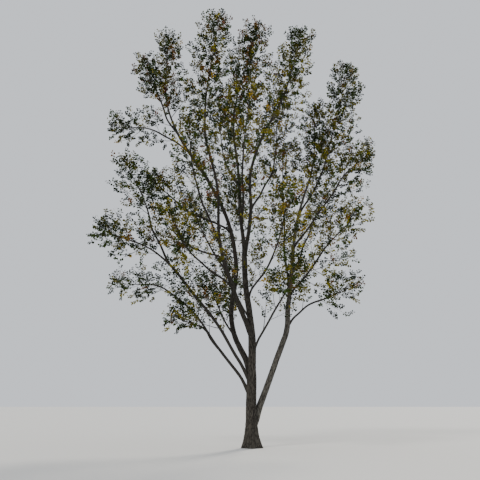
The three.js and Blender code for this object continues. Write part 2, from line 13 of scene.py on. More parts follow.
import bpy
import numpy as np
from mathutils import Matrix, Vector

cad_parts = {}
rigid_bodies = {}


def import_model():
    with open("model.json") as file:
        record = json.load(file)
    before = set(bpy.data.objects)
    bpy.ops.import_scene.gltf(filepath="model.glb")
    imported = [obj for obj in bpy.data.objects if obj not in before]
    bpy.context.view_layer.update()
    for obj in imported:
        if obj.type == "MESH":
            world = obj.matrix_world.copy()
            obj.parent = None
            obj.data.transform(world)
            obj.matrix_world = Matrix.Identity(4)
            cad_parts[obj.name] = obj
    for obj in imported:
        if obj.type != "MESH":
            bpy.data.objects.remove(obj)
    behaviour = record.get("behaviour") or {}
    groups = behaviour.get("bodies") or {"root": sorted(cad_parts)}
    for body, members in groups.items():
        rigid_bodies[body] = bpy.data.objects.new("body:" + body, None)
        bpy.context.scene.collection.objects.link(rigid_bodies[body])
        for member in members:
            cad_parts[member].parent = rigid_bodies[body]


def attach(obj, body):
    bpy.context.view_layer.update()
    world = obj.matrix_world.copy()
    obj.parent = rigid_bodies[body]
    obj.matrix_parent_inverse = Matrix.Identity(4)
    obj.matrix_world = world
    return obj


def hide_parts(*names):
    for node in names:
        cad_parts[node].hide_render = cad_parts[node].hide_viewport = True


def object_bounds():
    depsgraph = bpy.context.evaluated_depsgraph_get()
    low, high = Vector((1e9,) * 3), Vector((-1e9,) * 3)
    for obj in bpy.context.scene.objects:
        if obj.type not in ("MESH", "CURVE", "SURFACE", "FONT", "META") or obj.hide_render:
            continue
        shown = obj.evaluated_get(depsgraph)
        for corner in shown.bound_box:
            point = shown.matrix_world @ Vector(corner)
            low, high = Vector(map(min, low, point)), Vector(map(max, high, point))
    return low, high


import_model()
CAD_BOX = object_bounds()

LOG = logging.getLogger("poplar")
Array = np.ndarray
Pair = tuple[float, float]
Triple = tuple[float, float, float]
Colour = Triple
Place = Triple
Socket = bpy.types.NodeSocket
Tree = bpy.types.NodeTree
Mesh = bpy.types.Mesh
Thing = bpy.types.Object
Material = bpy.types.Material
Node = bpy.types.Node
Links = dict[str | int, object]
GOLDEN_ANGLE = math.pi * (3 - math.sqrt(5))
UP = np.array([0.0, 0.0, 1.0])
# A vector's least length when it is scaled, and what keeps a level vector from vanishing
LEAST_LENGTH = 1e-12
NUDGE = 1e-9
# What turns a height in metres into a seed or a phase
SEED_SCALE = 1000
# How many points to each side a line's direction is read from
LOOK_ROUND = 1.5
# The mark of a cell of air that no limb fills
FREE = -1


class Tint(Enum):
    """The autumn colour that most leaves of a plume have, and its material slot."""

    GREEN = "foliage_green"
    OLIVE = "foliage_olive"
    GOLD = "foliage_gold"
    BRONZE = "foliage_bronze"


@dataclass(frozen=True)
class LimbSize:
    """A limb and its plume, the mass of foliage that runs on from its tip to the plume's end.

    A place is a bearing from +X towards +Y round the trunk's foot, a reach and a height. A limb
    leaves the limb that it is on at a height, with slopes in degrees above level at its start and
    tip, past its bends. Its plume is broad near the limb and narrow near the end, and fill is how
    densely branchlets grow in it, where 1 is usual. Shoots grow on the limb past the share that is
    bare, so many a metre, and lift is how much they turn upward, or down where it is below 0.
    """

    name: str
    on: str
    at: float
    tip: Place
    slopes: Pair
    tint: Tint
    end: Place
    broad: float
    narrow: float
    fill: float
    bends: tuple[Place, ...] = ()
    tip_radius: float = 0.038
    bare: float = 0.3
    shoots: float = 1.5
    lift: float = 0.35
    plume: str = ""

    def foliage(self) -> str:
        """Returns the name of the plume's node."""
        return "foliage_" + (self.plume or self.name.removesuffix("_bough"))


LIMBS = (
    LimbSize("trunk", "", 0.0, (180, 0.69, 12.8), (90, 84),
             Tint.BRONZE, (0, 0.35, 19.5), 1.25, 0.85, 1.3,
             ((180, 0.1, 4.0), (180, 0.205, 6.2), (180, 0.15, 8.0), (180, 0.37, 9.6)),
             tip_radius=0.056, bare=0.42, plume="crown_top"),
    LimbSize("second_stem", "trunk", 0.85, (26, 3.1, 11.6), (58, 70),
             Tint.OLIVE, (26, 3.65, 15.7), 1.3, 0.85, 0.85,
             ((22, 1.44, 4.2), (25, 1.58, 5.7), (28, 2.23, 8.2)),
             tip_radius=0.052, bare=0.35, plume="right_middle"),
    LimbSize("left_lowest_bough", "trunk", 2.1, (159, 4.1, 6.5), (47, 32),
             Tint.GREEN, (166, 6.5, 6.9), 0.82, 0.6, 0.75),
    LimbSize("left_low_bough", "trunk", 2.6, (201, 4.1, 7.35), (48, 34),
             Tint.GREEN, (194, 6.35, 8.45), 1.1, 0.9, 1.2, shoots=3.5),
    LimbSize("far_left_bough", "trunk", 2.8, (168, 3.76, 14.45), (62, 66),
             Tint.BRONZE, (169, 4.18, 19.6), 1.4, 0.7, 1.1,
             ((144, 0.93, 4.7), (122, 1.08, 7.6), (153, 2.13, 11.29)),
             tip_radius=0.05, plume="top_left"),
    LimbSize("front_low_bough", "trunk", 3.65, (300, 2.05, 5.25), (35, 35),
             Tint.OLIVE, (295, 3.85, 6.65), 0.95, 0.78, 0.8),
    LimbSize("high_left_bough", "trunk", 4.35, (212, 2.33, 12.9), (48, 86),
             Tint.BRONZE, (221, 1.96, 18.9), 1.25, 0.82, 1.2,
             ((224, 1.37, 7.1), (216, 2.03, 11.0)), tip_radius=0.05),
    LimbSize("back_low_bough", "trunk", 4.9, (108, 2.0, 6.35), (35, 48),
             Tint.GREEN, (110, 3.5, 8.55), 1.15, 0.9, 0.6),
    LimbSize("front_right_bough", "trunk", 5.85, (293, 2.05, 7.05), (32, 42),
             Tint.GOLD, (293, 3.7, 9.6), 1.3, 1.0, 0.8, bare=0.05),
    LimbSize("high_right_bough", "trunk", 7.7, (317, 1.34, 13.7), (60, 62),
             Tint.OLIVE, (336, 2.65, 18.2), 1.2, 0.75, 1.25,
             ((270, 0.62, 9.6), (275, 0.8, 11.4)), tip_radius=0.056),
    LimbSize("back_middle_bough", "trunk", 7.9, (100, 2.4, 10.0), (40, 55),
             Tint.OLIVE, (99, 3.9, 12.9), 1.4, 1.1, 0.8),
    LimbSize("front_middle_bough", "trunk", 8.8, (262, 2.5, 10.8), (38, 52),
             Tint.GOLD, (270, 3.9, 13.7), 1.35, 1.05, 0.5),
    LimbSize("back_high_bough", "trunk", 10.8, (124, 2.25, 13.2), (48, 62),
             Tint.OLIVE, (120, 3.1, 17.2), 1.3, 0.95, 0.5),
    LimbSize("right_back_bough", "second_stem", 5.75, (56, 3.0, 10.6), (68, 80),
             Tint.GOLD, (62, 3.8, 14.5), 1.3, 1.0, 0.4),
    LimbSize("right_lowest_bough", "second_stem", 4.8, (20, 3.2, 5.9), (42, 18),
             Tint.GREEN, (15, 4.9, 6.9), 1.0, 0.8, 0.9),
    LimbSize("right_low_bough", "second_stem", 6.1, (342, 3.0, 7.45), (30, 42),
             Tint.GOLD, (342, 4.7, 9.25), 1.25, 0.95, 0.75, shoots=5.0, lift=-0.45),
    LimbSize("back_right_bough", "second_stem", 7.1, (42, 3.9, 9.5), (42, 52),
             Tint.OLIVE, (42, 5.25, 12.0), 1.3, 1.0, 0.65),
    LimbSize("right_side_bough", "second_stem", 8.35, (3, 3.98, 11.05), (44, 60),
             Tint.OLIVE, (1, 5.65, 12.85), 1.35, 0.95, 1.4,
             ((8, 3.13, 9.78),), bare=0.4, shoots=4.0, lift=-0.3),
    LimbSize("top_right_bough", "second_stem", 9.9, (14, 3.65, 12.4), (58, 74),
             Tint.GREEN, (9, 5.0, 17.6), 1.25, 0.82, 1.35, shoots=5.0, lift=-0.15),
    LimbSize("right_inner_bough", "high_right_bough", 9.5, (49, 1.75, 12.4), (56, 68),
             Tint.GOLD, (50, 2.3, 16.2), 1.2, 0.85, 0.8),
    LimbSize("left_inner_bough", "high_left_bough", 6.2, (219, 2.75, 7.0), (18, 30),
             Tint.GOLD, (223, 4.4, 8.9), 1.1, 0.88, 0.65),
    LimbSize("left_middle_bough", "high_left_bough", 7.3, (187, 2.5, 7.9), (20, 32),
             Tint.GOLD, (182, 4.0, 9.5), 1.0, 0.8, 0.55),
    LimbSize("front_left_bough", "high_left_bough", 7.8, (232, 3.5, 9.8), (38, 55),
             Tint.OLIVE, (238, 4.6, 12.2), 1.15, 0.92, 0.78),
    LimbSize("inner_low_bough", "far_left_bough", 4.3, (130, 2.0, 5.4), (34, 50),
             Tint.GREEN, (129, 3.25, 7.45), 1.0, 0.75, 0.75),
    LimbSize("back_left_bough", "far_left_bough", 6.6, (128, 3.4, 9.2), (46, 54),
             Tint.OLIVE, (130, 4.9, 11.9), 1.35, 1.0, 0.75),
    LimbSize("left_shoulder_bough", "far_left_bough", 9.0, (191, 3.2, 9.8), (22, 36),
             Tint.GREEN, (192, 4.45, 10.9), 0.95, 0.78, 1.3),
    LimbSize("left_arm_bough", "far_left_bough", 13.0, (174, 4.5, 13.85), (34, 20),
             Tint.GREEN, (176, 6.75, 14.15), 0.88, 0.74, 1.1),
    LimbSize("left_crest_bough", "far_left_bough", 13.9, (169, 4.45, 15.8), (48, 70),
             Tint.BRONZE, (171, 5.5, 18.25), 0.8, 0.55, 1.2, bare=0.1),
    LimbSize("left_side_bough", "left_low_bough", 6.9, (204, 4.47, 8.75), (58, 74),
             Tint.GREEN, (202, 5.6, 11.3), 1.15, 0.85, 0.95),
    LimbSize("left_foot_bough", "left_lowest_bough", 3.8, (180, 2.05, 4.6), (26, 18),
             Tint.GREEN, (180, 3.4, 5.15), 0.76, 0.6, 0.7),
)


def unit(vectors: Array) -> Array:
    """Returns vectors, each along the last axis, scaled to length 1."""
    return vectors / np.maximum(np.linalg.norm(vectors, axis=-1, keepdims=True), LEAST_LENGTH)


def mix(low: float | Array, high: float | Array, share: float | Array) -> float | Array:
    """Returns the value a share of the way from one value to another."""
    return low + (high - low) * share


def spot(place: Place) -> Array:
    """Returns a place as a point."""
    turn = math.radians(place[0])
    return np.array([place[1] * math.cos(turn), place[1] * math.sin(turn), place[2]])


def sloped(toward: Array, slope: float) -> Array:
    """Returns the unit vector over a vector's level heading, so many degrees above level."""
    level = unit(toward * [1, 1, 0])
    return level * math.cos(math.radians(slope)) + UP * math.sin(math.radians(slope))


@dataclass
class Line:
    """A path kept as points at even shares of its length, with a level vector to its side."""

    points: Array
    side: Array
    length: float

    def at(self, share: float | Array) -> Array:
        """Gives points on the line.

        Args:
            share: Shares of the way along, from 0 to 1.

        Returns:
            A point for each share.
        """
        place = np.clip(share, 0, 1) * (len(self.points) - 1)
        index = np.minimum(np.asarray(place).astype(int), len(self.points) - 2)
        return mix(self.points[index], self.points[index + 1], np.asarray(place - index)[..., None])

    def spokes(self, share: float | Array) -> tuple[Array, Array, Array]:
        """Gives the line's own directions.

        Args:
            share: Shares of the way along, from 0 to 1.

        Returns:
            Unit vectors along the line, across it and over it.
        """
        step = LOOK_ROUND / (len(self.points) - 1)
        along = unit(self.at(share + step) - self.at(share - step))
        across = unit(self.side - along * (along @ self.side)[..., None])
        return along, across, np.cross(across, along)

    def share_at_height(self, height: float) -> float:
        """Returns the share of the way along at which the line reaches a height."""
        return float(np.interp(height, self.points[:, 2], np.linspace(0, 1, len(self.points))))


def arc(start: Array, leave: Array, end: Array, arrive: Array, pull: float, count: int = 200) -> Array:
    """Draws a smooth curve that leaves and arrives along two directions.

    Args:
        start: Its first point.
        leave: Unit vector at the first point.
        end: Its last point.
        arrive: Unit vector at the last point.
        pull: How far both directions hold, as a share of the distance.
        count: How many steps it is drawn in.

    Returns:
        Points on the curve.
    """
    hold = np.linalg.norm(end - start) * pull
    t = np.linspace(0, 1, count + 1)[:, None]
    near, far = start + leave * hold, end - arrive * hold
    return (1 - t) ** 3 * start + 3 * t * (1 - t) ** 2 * near + 3 * t**2 * (1 - t) * far + t**3 * end


def evened(points: Array, count: int) -> tuple[Array, float]:
    """Spaces points evenly along the path through them.

    Args:
        points: The path.
        count: How many points to return.

    Returns:
        The evenly spaced points and the path's length.
    """
    run = np.concatenate([[0], np.cumsum(np.linalg.norm(np.diff(points, axis=0), axis=1))])
    at = np.linspace(0, run[-1], count)
    return np.stack([np.interp(at, run, points[:, axis]) for axis in range(3)], axis=1), float(run[-1])


@dataclass(frozen=True)
class WoodRule:
    """How limbs are drawn, how thick they are and where plumes start, the same as in the solids."""

    taper: float = 0.0024
    carried: float = 0.7
    fork_blend: float = 0.7
    pull: float = 0.38
    crook: float = 0.012
    waves: Pair = (7, 9)
    cut_depth: float = 0.06
    points: int = 401
    plume_start: Pair = (0.8, 0.4)


@dataclass
class PlumeSpace:
    """The rounded spindle that a plume keeps to."""

    low: Array
    high: Array
    broad: float
    narrow: float

    def depth(self, points: Array) -> Array:
        """Measures how far out points lie in the space.

        Args:
            points: Points along the last axis.

        Returns:
            0 on its axis and 1 on its skin, for each point.
        """
        axis = self.high - self.low
        share = np.clip((points - self.low) @ axis / (axis @ axis), 0, 1)
        nearest = self.low + share[..., None] * axis
        return np.linalg.norm(points - nearest, axis=-1) / mix(self.broad, self.narrow, share)


@dataclass
class Limb:
    """A limb of the tree: its line, the limb that it leaves, and its own boughs."""

    size: LimbSize
    line: Line
    rule: WoodRule
    parent: "Limb | None"
    boughs: list["Limb"] = field(default_factory=list)
    leaves_at: float = 0.0
    root: float = 0.0

    def radius(self, share: float | Array) -> Array:
        """Gives the limb's radius: its own taper, and a share of every bough further up.

        Args:
            share: Shares of the way along, from 0 to 1.

        Returns:
            A radius for each share.
        """
        own = self.size.tip_radius + self.rule.taper * self.line.length * (1 - np.asarray(share))
        section = own**2
        for bough in self.boughs:
            below = (bough.leaves_at - share) * self.line.length
            part = np.clip(below / self.rule.fork_blend + 0.5, 0, 1)
            section = section + self.rule.carried * part**2 * (3 - 2 * part) * bough.root**2
        return np.sqrt(section)

    def fork_girth(self) -> float:
        """Returns the radius of the limb that it leaves, at their fork."""
        return float(self.parent.radius(self.leaves_at))

    def space(self) -> PlumeSpace:
        """Works out where its plume grows.

        Returns:
            The plume's space.
        """
        start, end = self.line.at(1.0), spot(self.size.end)
        length = float(np.linalg.norm(end - start))
        axis = (end - start) / length
        by_girth, by_length = self.rule.plume_start
        low = start + axis * min(self.size.broad * by_girth, length * by_length)
        return PlumeSpace(low, end - axis * self.size.narrow, self.size.broad, self.size.narrow)


@dataclass
class Skeleton:
    """The limbs of the tree, grown from their table."""

    rule: WoodRule = WoodRule()

    def grow(self) -> list[Limb]:
        """Draws every limb and works out its thickness.

        Returns:
            The limbs in the order of the table, the trunk first.
        """
        limbs: dict[str, Limb] = {}
        for size in LIMBS:
            parent = limbs.get(size.on)
            limb = Limb(size, self.line(size, parent), self.rule, parent)
            if parent:
                limb.leaves_at = parent.line.share_at_height(size.at)
                parent.boughs.append(limb)
            limbs[size.name] = limb
        for limb in reversed(limbs.values()):
            limb.root = float(limb.radius(0.0))
        return list(limbs.values())

    def line(self, size: LimbSize, parent: Limb | None) -> Line:
        """Draws a limb's line: arcs through its bends, with a slight waver that dies away at both ends.

        Args:
            size: The limb's row in the table.
            parent: The limb that it leaves, or None for the trunk.

        Returns:
            Its line.
        """
        rule = self.rule
        foot = np.array([0.0, 0.0, -rule.cut_depth])
        start = parent.line.at(parent.line.share_at_height(size.at)) if parent else foot
        knots = [start, *(spot(bend) for bend in size.bends), spot(size.tip)]
        headings = [sloped(knots[1] - start, size.slopes[0])]
        headings += [unit(after - before) for before, after in zip(knots, knots[2:])]
        headings.append(sloped(knots[-1] - knots[-2], size.slopes[1]))
        ends = list(zip(knots, headings))
        arcs = [arc(*first, *last, rule.pull) for first, last in zip(ends, ends[1:])]
        points, length = evened(np.concatenate([arcs[0][:1], *(part[1:] for part in arcs)]), rule.points)
        heading = unit((knots[-1] - start) * [1, 1, 0])
        side = np.array([-heading[1], heading[0], 0.0])
        share = np.linspace(0, 1, len(points))[:, None]
        phase = math.radians(size.tip[0] + SEED_SCALE * size.tip[2])
        sway = length * rule.crook * np.sin(math.pi * share)
        aside, ahead = np.sin(rule.waves[0] * share + phase), np.cos(rule.waves[1] * share + phase)
        return Line(points + sway * (side * aside + heading * ahead), side, length)


@dataclass
class Room:
    """Where wood and leaves may grow: about their own plume's space, in the tree's box and clear of limbs."""

    limbs: list[Limb]
    cell: float = 0.08
    margin: float = 0.02
    step: float = 0.06
    edge: float = 0.04

    def __post_init__(self) -> None:
        """Works out the spaces, and marks the cells of the tree's box that limbs fill."""
        self.spaces = [limb.space() for limb in self.limbs]
        self.low, self.high = (np.array(corner) for corner in CAD_BOX)
        self.holder = np.full(tuple(((self.high - self.low) / self.cell).astype(int) + 1), FREE)
        for number, limb in enumerate(self.limbs):
            share = np.linspace(0, 1, int(2 * limb.line.length / self.cell) + 2)
            for centre, radius in zip(limb.line.at(share), limb.radius(share) + self.margin):
                first, last = self.cells(centre - radius), self.cells(centre + radius) + 1
                self.holder[tuple(slice(*ends) for ends in zip(first, last))] = number

    def cells(self, points: Array) -> Array:
        """Returns the cell of each point."""
        return np.clip(((points - self.low) / self.cell).astype(int), 0, np.array(self.holder.shape) - 1)

    def clear(self, own: int, points: Array) -> Array:
        """Tells which points are in the tree's box and clear of every limb but the one that carries them.

        Args:
            own: The plume's number.
            points: Points along the last axis.

        Returns:
            True or False for each point.
        """
        held = self.holder[tuple(np.moveaxis(self.cells(points), -1, 0))]
        boxed = (points > self.low + self.edge) & (points < self.high - self.edge)
        return boxed.all(axis=-1) & ((held == FREE) | (held == own))

    def along(self, own: int, starts: Array, ways: Array, longest: float, limit: Array, blur: float) -> Array:
        """Measures how far straight twigs may run about their plume's space, and clear of what isn't theirs.

        Args:
            own: The plume's number.
            starts: Where they start.
            ways: Their unit directions.
            longest: The longest that is of use.
            limit: How far out of the plume's space each may run, where 1 is its skin.
            blur: How much further into another space they may be.

        Returns:
            A length for each.
        """
        steps = np.arange(self.step, longest + self.step, self.step)
        probes = starts[:, None, :] + ways[:, None, :] * steps[:, None]
        depth = self.spaces[own].depth(probes)
        open_air = self.clear(own, probes) & (depth < limit[:, None])
        for number, space in enumerate(self.spaces):
            if number != own:
                open_air &= space.depth(probes) > depth - blur
        first = np.where(open_air.all(axis=1), len(steps), (~open_air).argmax(axis=1))
        return np.minimum(first * self.step, longest)


@dataclass(frozen=True)
class TwigOrder:
    """How the twigs of one order grow on the wood that carries them, in turn round the golden angle.

    Attributes:
        fewest: Twigs on any piece of wood.
        per_metre: Further twigs for each metre of it.
        between: Shares of the wood between which they grow.
        spread: Degrees from the wood, low on it and high on it.
        lift: How much they turn upward.
        bow: How far they sag before they rise, as a share of their length.
        longest: Their own length, low on the wood and high on it.
        ragged: How far out of the plume's space they may run, least and most, where 1 is its skin.
        blur: How much further into another plume's space they may run.
        least: The shortest that still grows.
        root: Radius at the root, as a share of length.
        thinnest: Radius at the tip.
        knots: Points along each.
    """

    fewest: int
    per_metre: float
    between: Pair
    spread: Pair
    lift: float
    bow: float
    longest: Pair
    ragged: Pair
    blur: float
    least: float
    root: float
    thinnest: float
    knots: int


# A limit so far out that it is none
ANY = 99.0
ANYWHERE = (ANY, ANY)
SHOOTS = TwigOrder(0, 1.5, (0.0, 1.0), (46, 34), 0.35, 0.1, (2.0, 1.3), ANYWHERE, ANY, 0.5, 0.007, 0.003, 8)
SHOOT_TWIGS = replace(SHOOTS, fewest=1, per_metre=5.0, between=(0.2, 1.0), spread=(52, 34), lift=0.2, bow=0.06,
                      longest=(0.75, 0.35), least=0.15, root=0.006, thinnest=0.0018, knots=4)
BRANCHLETS = replace(SHOOTS, fewest=4, per_metre=3.6, between=(0.0, 0.97), spread=(60, 26), lift=0.25,
                     longest=(4.0, 2.0), ragged=(0.75, 1.4), blur=0.4, least=0.3)
TWIGS = replace(SHOOT_TWIGS, fewest=2, per_metre=5.2, between=(0.12, 1.0), spread=(54, 32),
                longest=(0.8, 0.32), ragged=(0.9, 1.5), blur=0.6, least=0.12)


@dataclass(frozen=True)
class LeafRule:
    """How leaves are set on twigs, and their size; a leaf's stalk is part of its length."""

    spacing: float = 0.036
    fewest: int = 2
    bare: float = 0.3
    length: Pair = (0.105, 0.14)
    swing: Pair = (30, 78)
    droop: Pair = (0.0, 0.95)
    tilt: float = 0.75


@dataclass
class Wood:
    """Many pieces of wood of one order, each as points with radii."""

    points: Array
    radii: Array

    def runs(self) -> Array:
        """Returns the length of each piece of wood."""
        return np.linalg.norm(np.diff(self.points, axis=1), axis=2).sum(axis=1)

    def lines(self) -> list[Line]:
        """Gives the wood's lines.

        Returns:
            A line for each piece of wood.
        """
        ends = self.points[:, -1] - self.points[:, 0]
        sides = unit(np.stack([-ends[:, 1], ends[:, 0], np.zeros(len(ends))], axis=1) + NUDGE)
        return [Line(*each) for each in zip(self.points, sides, self.runs())]

    def __add__(self, other: "Wood") -> "Wood":
        """Returns the wood of both."""
        return Wood(np.concatenate([self.points, other.points]), np.concatenate([self.radii, other.radii]))


@dataclass
class Leaves:
    """Leaves by the thousand: where each is rooted, where it points and faces, its size and its look."""

    root: Array
    aim: Array
    face: Array
    size: Array
    shade: Array
    kind: Array


LEAF_LAYERS = {"aim": "FLOAT_VECTOR", "face": "FLOAT_VECTOR", "size": "FLOAT", "shade": "INT", "kind": "INT"}


@dataclass
class PlumeGrowth:
    """What has grown on one limb and in its plume's space."""

    limb: Limb
    stem: Wood
    branchlets: Wood
    twigs: Wood
    leaves: Leaves


@dataclass
class PlumeWork:
    """One plume as it grows: shoots on its limb, and a stem, branchlets, twigs and leaves in its space.

    The stem starts sunk in its limb and stops shy of the plume's end. Spreads and lengths are the
    shares of the usual between which those of twigs vary, and scatter is how much their bow does.
    """

    number: int
    limb: Limb
    room: Room
    leaf: LeafRule = LeafRule()
    stem_points: int = 17
    stem_pull: float = 0.4
    stem_start: float = 0.97
    stem_end: float = 0.007
    stem_shy: float = 0.12
    stem_sunk: float = 0.05
    limb_points: int = 101
    spreads: Pair = (0.75, 1.25)
    lengths: Pair = (0.6, 1.2)
    scatter: float = 0.05
    taper: float = 0.8

    def __post_init__(self) -> None:
        """Starts the plume's own stream of random numbers."""
        _, reach, height = self.limb.size.end
        self.random = np.random.default_rng(round(SEED_SCALE * (height + reach)))

    def grow(self) -> PlumeGrowth:
        """Grows the plume, and the shoots of its limb.

        Returns:
            Its growth.
        """
        size, wood = self.limb.size, self.limb.line
        line = self.stem_line()
        shares = np.linspace(0, 1, self.stem_points)
        stem = Wood(line.points[None], mix(self.stem_start * size.tip_radius, self.stem_end, shares)[None])
        denser = replace(BRANCHLETS, per_metre=BRANCHLETS.per_metre * size.fill)
        branchlets = self.outgrowth([line], denser)
        leafy = wood.at(np.linspace(size.bare, 1, self.limb_points))
        order = replace(SHOOTS, per_metre=size.shoots, lift=size.lift)
        shoots = self.outgrowth([Line(leafy, wood.side, (1 - size.bare) * wood.length)], order)
        twigs = self.outgrowth(branchlets.lines() + [line], TWIGS)
        twigs += self.outgrowth(shoots.lines(), SHOOT_TWIGS)
        return PlumeGrowth(self.limb, stem, branchlets + shoots, twigs, self.foliate(twigs))

    def stem_line(self) -> Line:
        """Draws the plume's stem, on from its limb's tip to its own far end.

        Returns:
            The stem's line.
        """
        leave = self.limb.line.spokes(1.0)[0]
        start = self.limb.line.at(1.0) - leave * self.stem_sunk
        axis = spot(self.limb.size.end) - start
        end = start + axis * (1 - self.stem_shy / np.linalg.norm(axis))
        arrive = unit(unit(axis) + UP * BRANCHLETS.lift)
        points, length = evened(arc(start, leave, end, arrive, self.stem_pull), self.stem_points)
        return Line(points, self.limb.line.side, length)

    def outgrowth(self, carriers: list[Line], order: TwigOrder) -> Wood:
        """Grows the twigs of one order on the wood that carries them.

        Args:
            carriers: The lines that carry them.
            order: How they grow.

        Returns:
            The twigs.
        """
        random = self.random
        parts = [(np.zeros((0, 3)), np.zeros((0, 3)), np.zeros(0))]
        for carrier in carriers:
            count = order.fewest + round(order.per_metre * carrier.length)
            rank = np.arange(count)
            share = mix(*order.between, (rank + 0.5) / max(count, 1))
            along, across, over = carrier.spokes(share)
            turn = (2 * math.pi * random.random() + rank * GOLDEN_ANGLE)[:, None]
            spread = np.radians(mix(*order.spread, share) * random.uniform(*self.spreads, count))[:, None]
            out = across * np.cos(turn) + over * np.sin(turn)
            way = unit(along * np.cos(spread) + out * np.sin(spread) + UP * order.lift)
            longest = mix(*order.longest, share) * random.uniform(*self.lengths, count)
            parts.append((carrier.at(share), way, longest))
        start, way, longest = (np.concatenate(part) for part in zip(*parts))
        limit = random.uniform(*order.ragged, len(start))
        most = max(order.longest) * self.lengths[1]
        length = np.minimum(longest, self.room.along(self.number, start, way, most, limit, order.blur))
        kept = length > order.least
        start, way, length = start[kept], way[kept], length[kept, None, None]
        t = np.linspace(0, 1, order.knots)[:, None]
        sag = random.normal(0, self.scatter, (len(start), 1, 3)) - UP * order.bow
        bent = (t - t**2) * 2 * sag + t * way[:, None, :]
        radii = mix(order.thinnest + order.root * length[..., 0], order.thinnest, t[:, 0] ** self.taper)
        return Wood(start[:, None, :] + bent * length, radii)

    def foliate(self, twigs: Wood) -> Leaves:
        """Sets leaves on twigs, in turn round them, each twig a spray of one colour.

        Args:
            twigs: What carries the leaves.

        Returns:
            The leaves.
        """
        rule, random, run = self.leaf, self.random, twigs.runs()
        counts = np.maximum(rule.fewest, np.round(run / rule.spacing)).astype(int)
        twig = np.repeat(np.arange(len(run)), counts)
        rank = np.arange(len(twig)) - np.repeat(np.cumsum(counts) - counts, counts)
        share = mix(rule.bare, 1.0, (rank + 1) / counts[twig])
        place = share * (twigs.points.shape[1] - 1)
        index = np.minimum(place.astype(int), twigs.points.shape[1] - 2)
        before, after = twigs.points[twig, index], twigs.points[twig, index + 1]
        root = mix(before, after, (place - index)[:, None])
        along = unit(after - before)
        across = unit(np.cross(along, UP) + NUDGE)
        turn = (random.random(len(run))[twig] * 2 * math.pi + rank * GOLDEN_ANGLE)[:, None]
        out = across * np.cos(turn) + np.cross(across, along) * np.sin(turn)
        swing = np.radians(random.uniform(*rule.swing, len(twig)))[:, None]
        droop = random.uniform(*rule.droop, len(twig))[:, None]
        aim = unit(along * np.cos(swing) + out * np.sin(swing) - UP * droop)
        face = unit(UP + random.normal(0, rule.tilt, aim.shape))
        size = random.uniform(*rule.length, len(twig))
        kept = self.room.clear(self.number, root + aim * size[:, None])
        spray = random.choice(len(SHADES), len(run), p=PALETTES[self.limb.size.tint])
        kind = random.integers(0, len(LEAF_FORMS), len(twig))
        return Leaves(*(part[kept] for part in (root, aim, face, size, spray[twig], kind)))


@dataclass
class Crown:
    """The foliage of the tree."""

    limbs: list[Limb]

    def grow(self) -> list[PlumeGrowth]:
        """Returns the growth of each limb and its plume, in the order of the limbs."""
        room = Room(self.limbs)
        return [PlumeWork(number, limb, room).grow() for number, limb in enumerate(self.limbs)]


@dataclass(frozen=True)
class LeafForm:
    """A leaf's outline, from its stalk's foot at 0 to its tip at 1, and how it is folded and curled."""

    fold: float
    curl: float
    stalk: float = 0.3
    stalk_width: float = 0.012
    outline: tuple[Pair, ...] = ((0.19, 0.3), (0.33, 0.41), (0.27, 0.62), (0.12, 0.83))

    def mesh(self, name: str) -> Mesh:
        """Makes the leaf's mesh: a stalk and a broad pointed blade, a few faces on each side of its rib.

        Args:
            name: The mesh's name.

        Returns:
            The mesh, lying along +Y with its upper face to +Z.
        """
        half = list(self.outline)
        stalk = [(0.0, 0.0), (-self.stalk_width, self.stalk), (self.stalk_width, self.stalk)]
        rib = [(0.0, self.stalk), (0.0, 1.0)]
        points = [*stalk, *rib, *((-x, y) for x, y in half), *half]
        foot, tip = len(stalk), len(stalk) + 1
        left = list(range(tip + 1, tip + 1 + len(half)))
        right = [number + len(half) for number in left]
        corners = [(0, 2, 1)]
        corners += [(foot, b, a) for a, b in zip(left, left[1:])] + [(foot, tip, left[-1])]
        corners += [(foot, a, b) for a, b in zip(right, right[1:])] + [(foot, right[-1], tip)]
        height = [abs(x) * self.fold - max(y - self.stalk, 0) ** 2 * self.curl for x, y in points]
        mesh = bpy.data.meshes.new(name)
        mesh.from_pydata([(x, y, z) for (x, y), z in zip(points, height)], [], corners)
        return mesh


LEAF_FORMS = (LeafForm(0.25, 0.1), LeafForm(0.5, 0.35), LeafForm(0.12, -0.15))


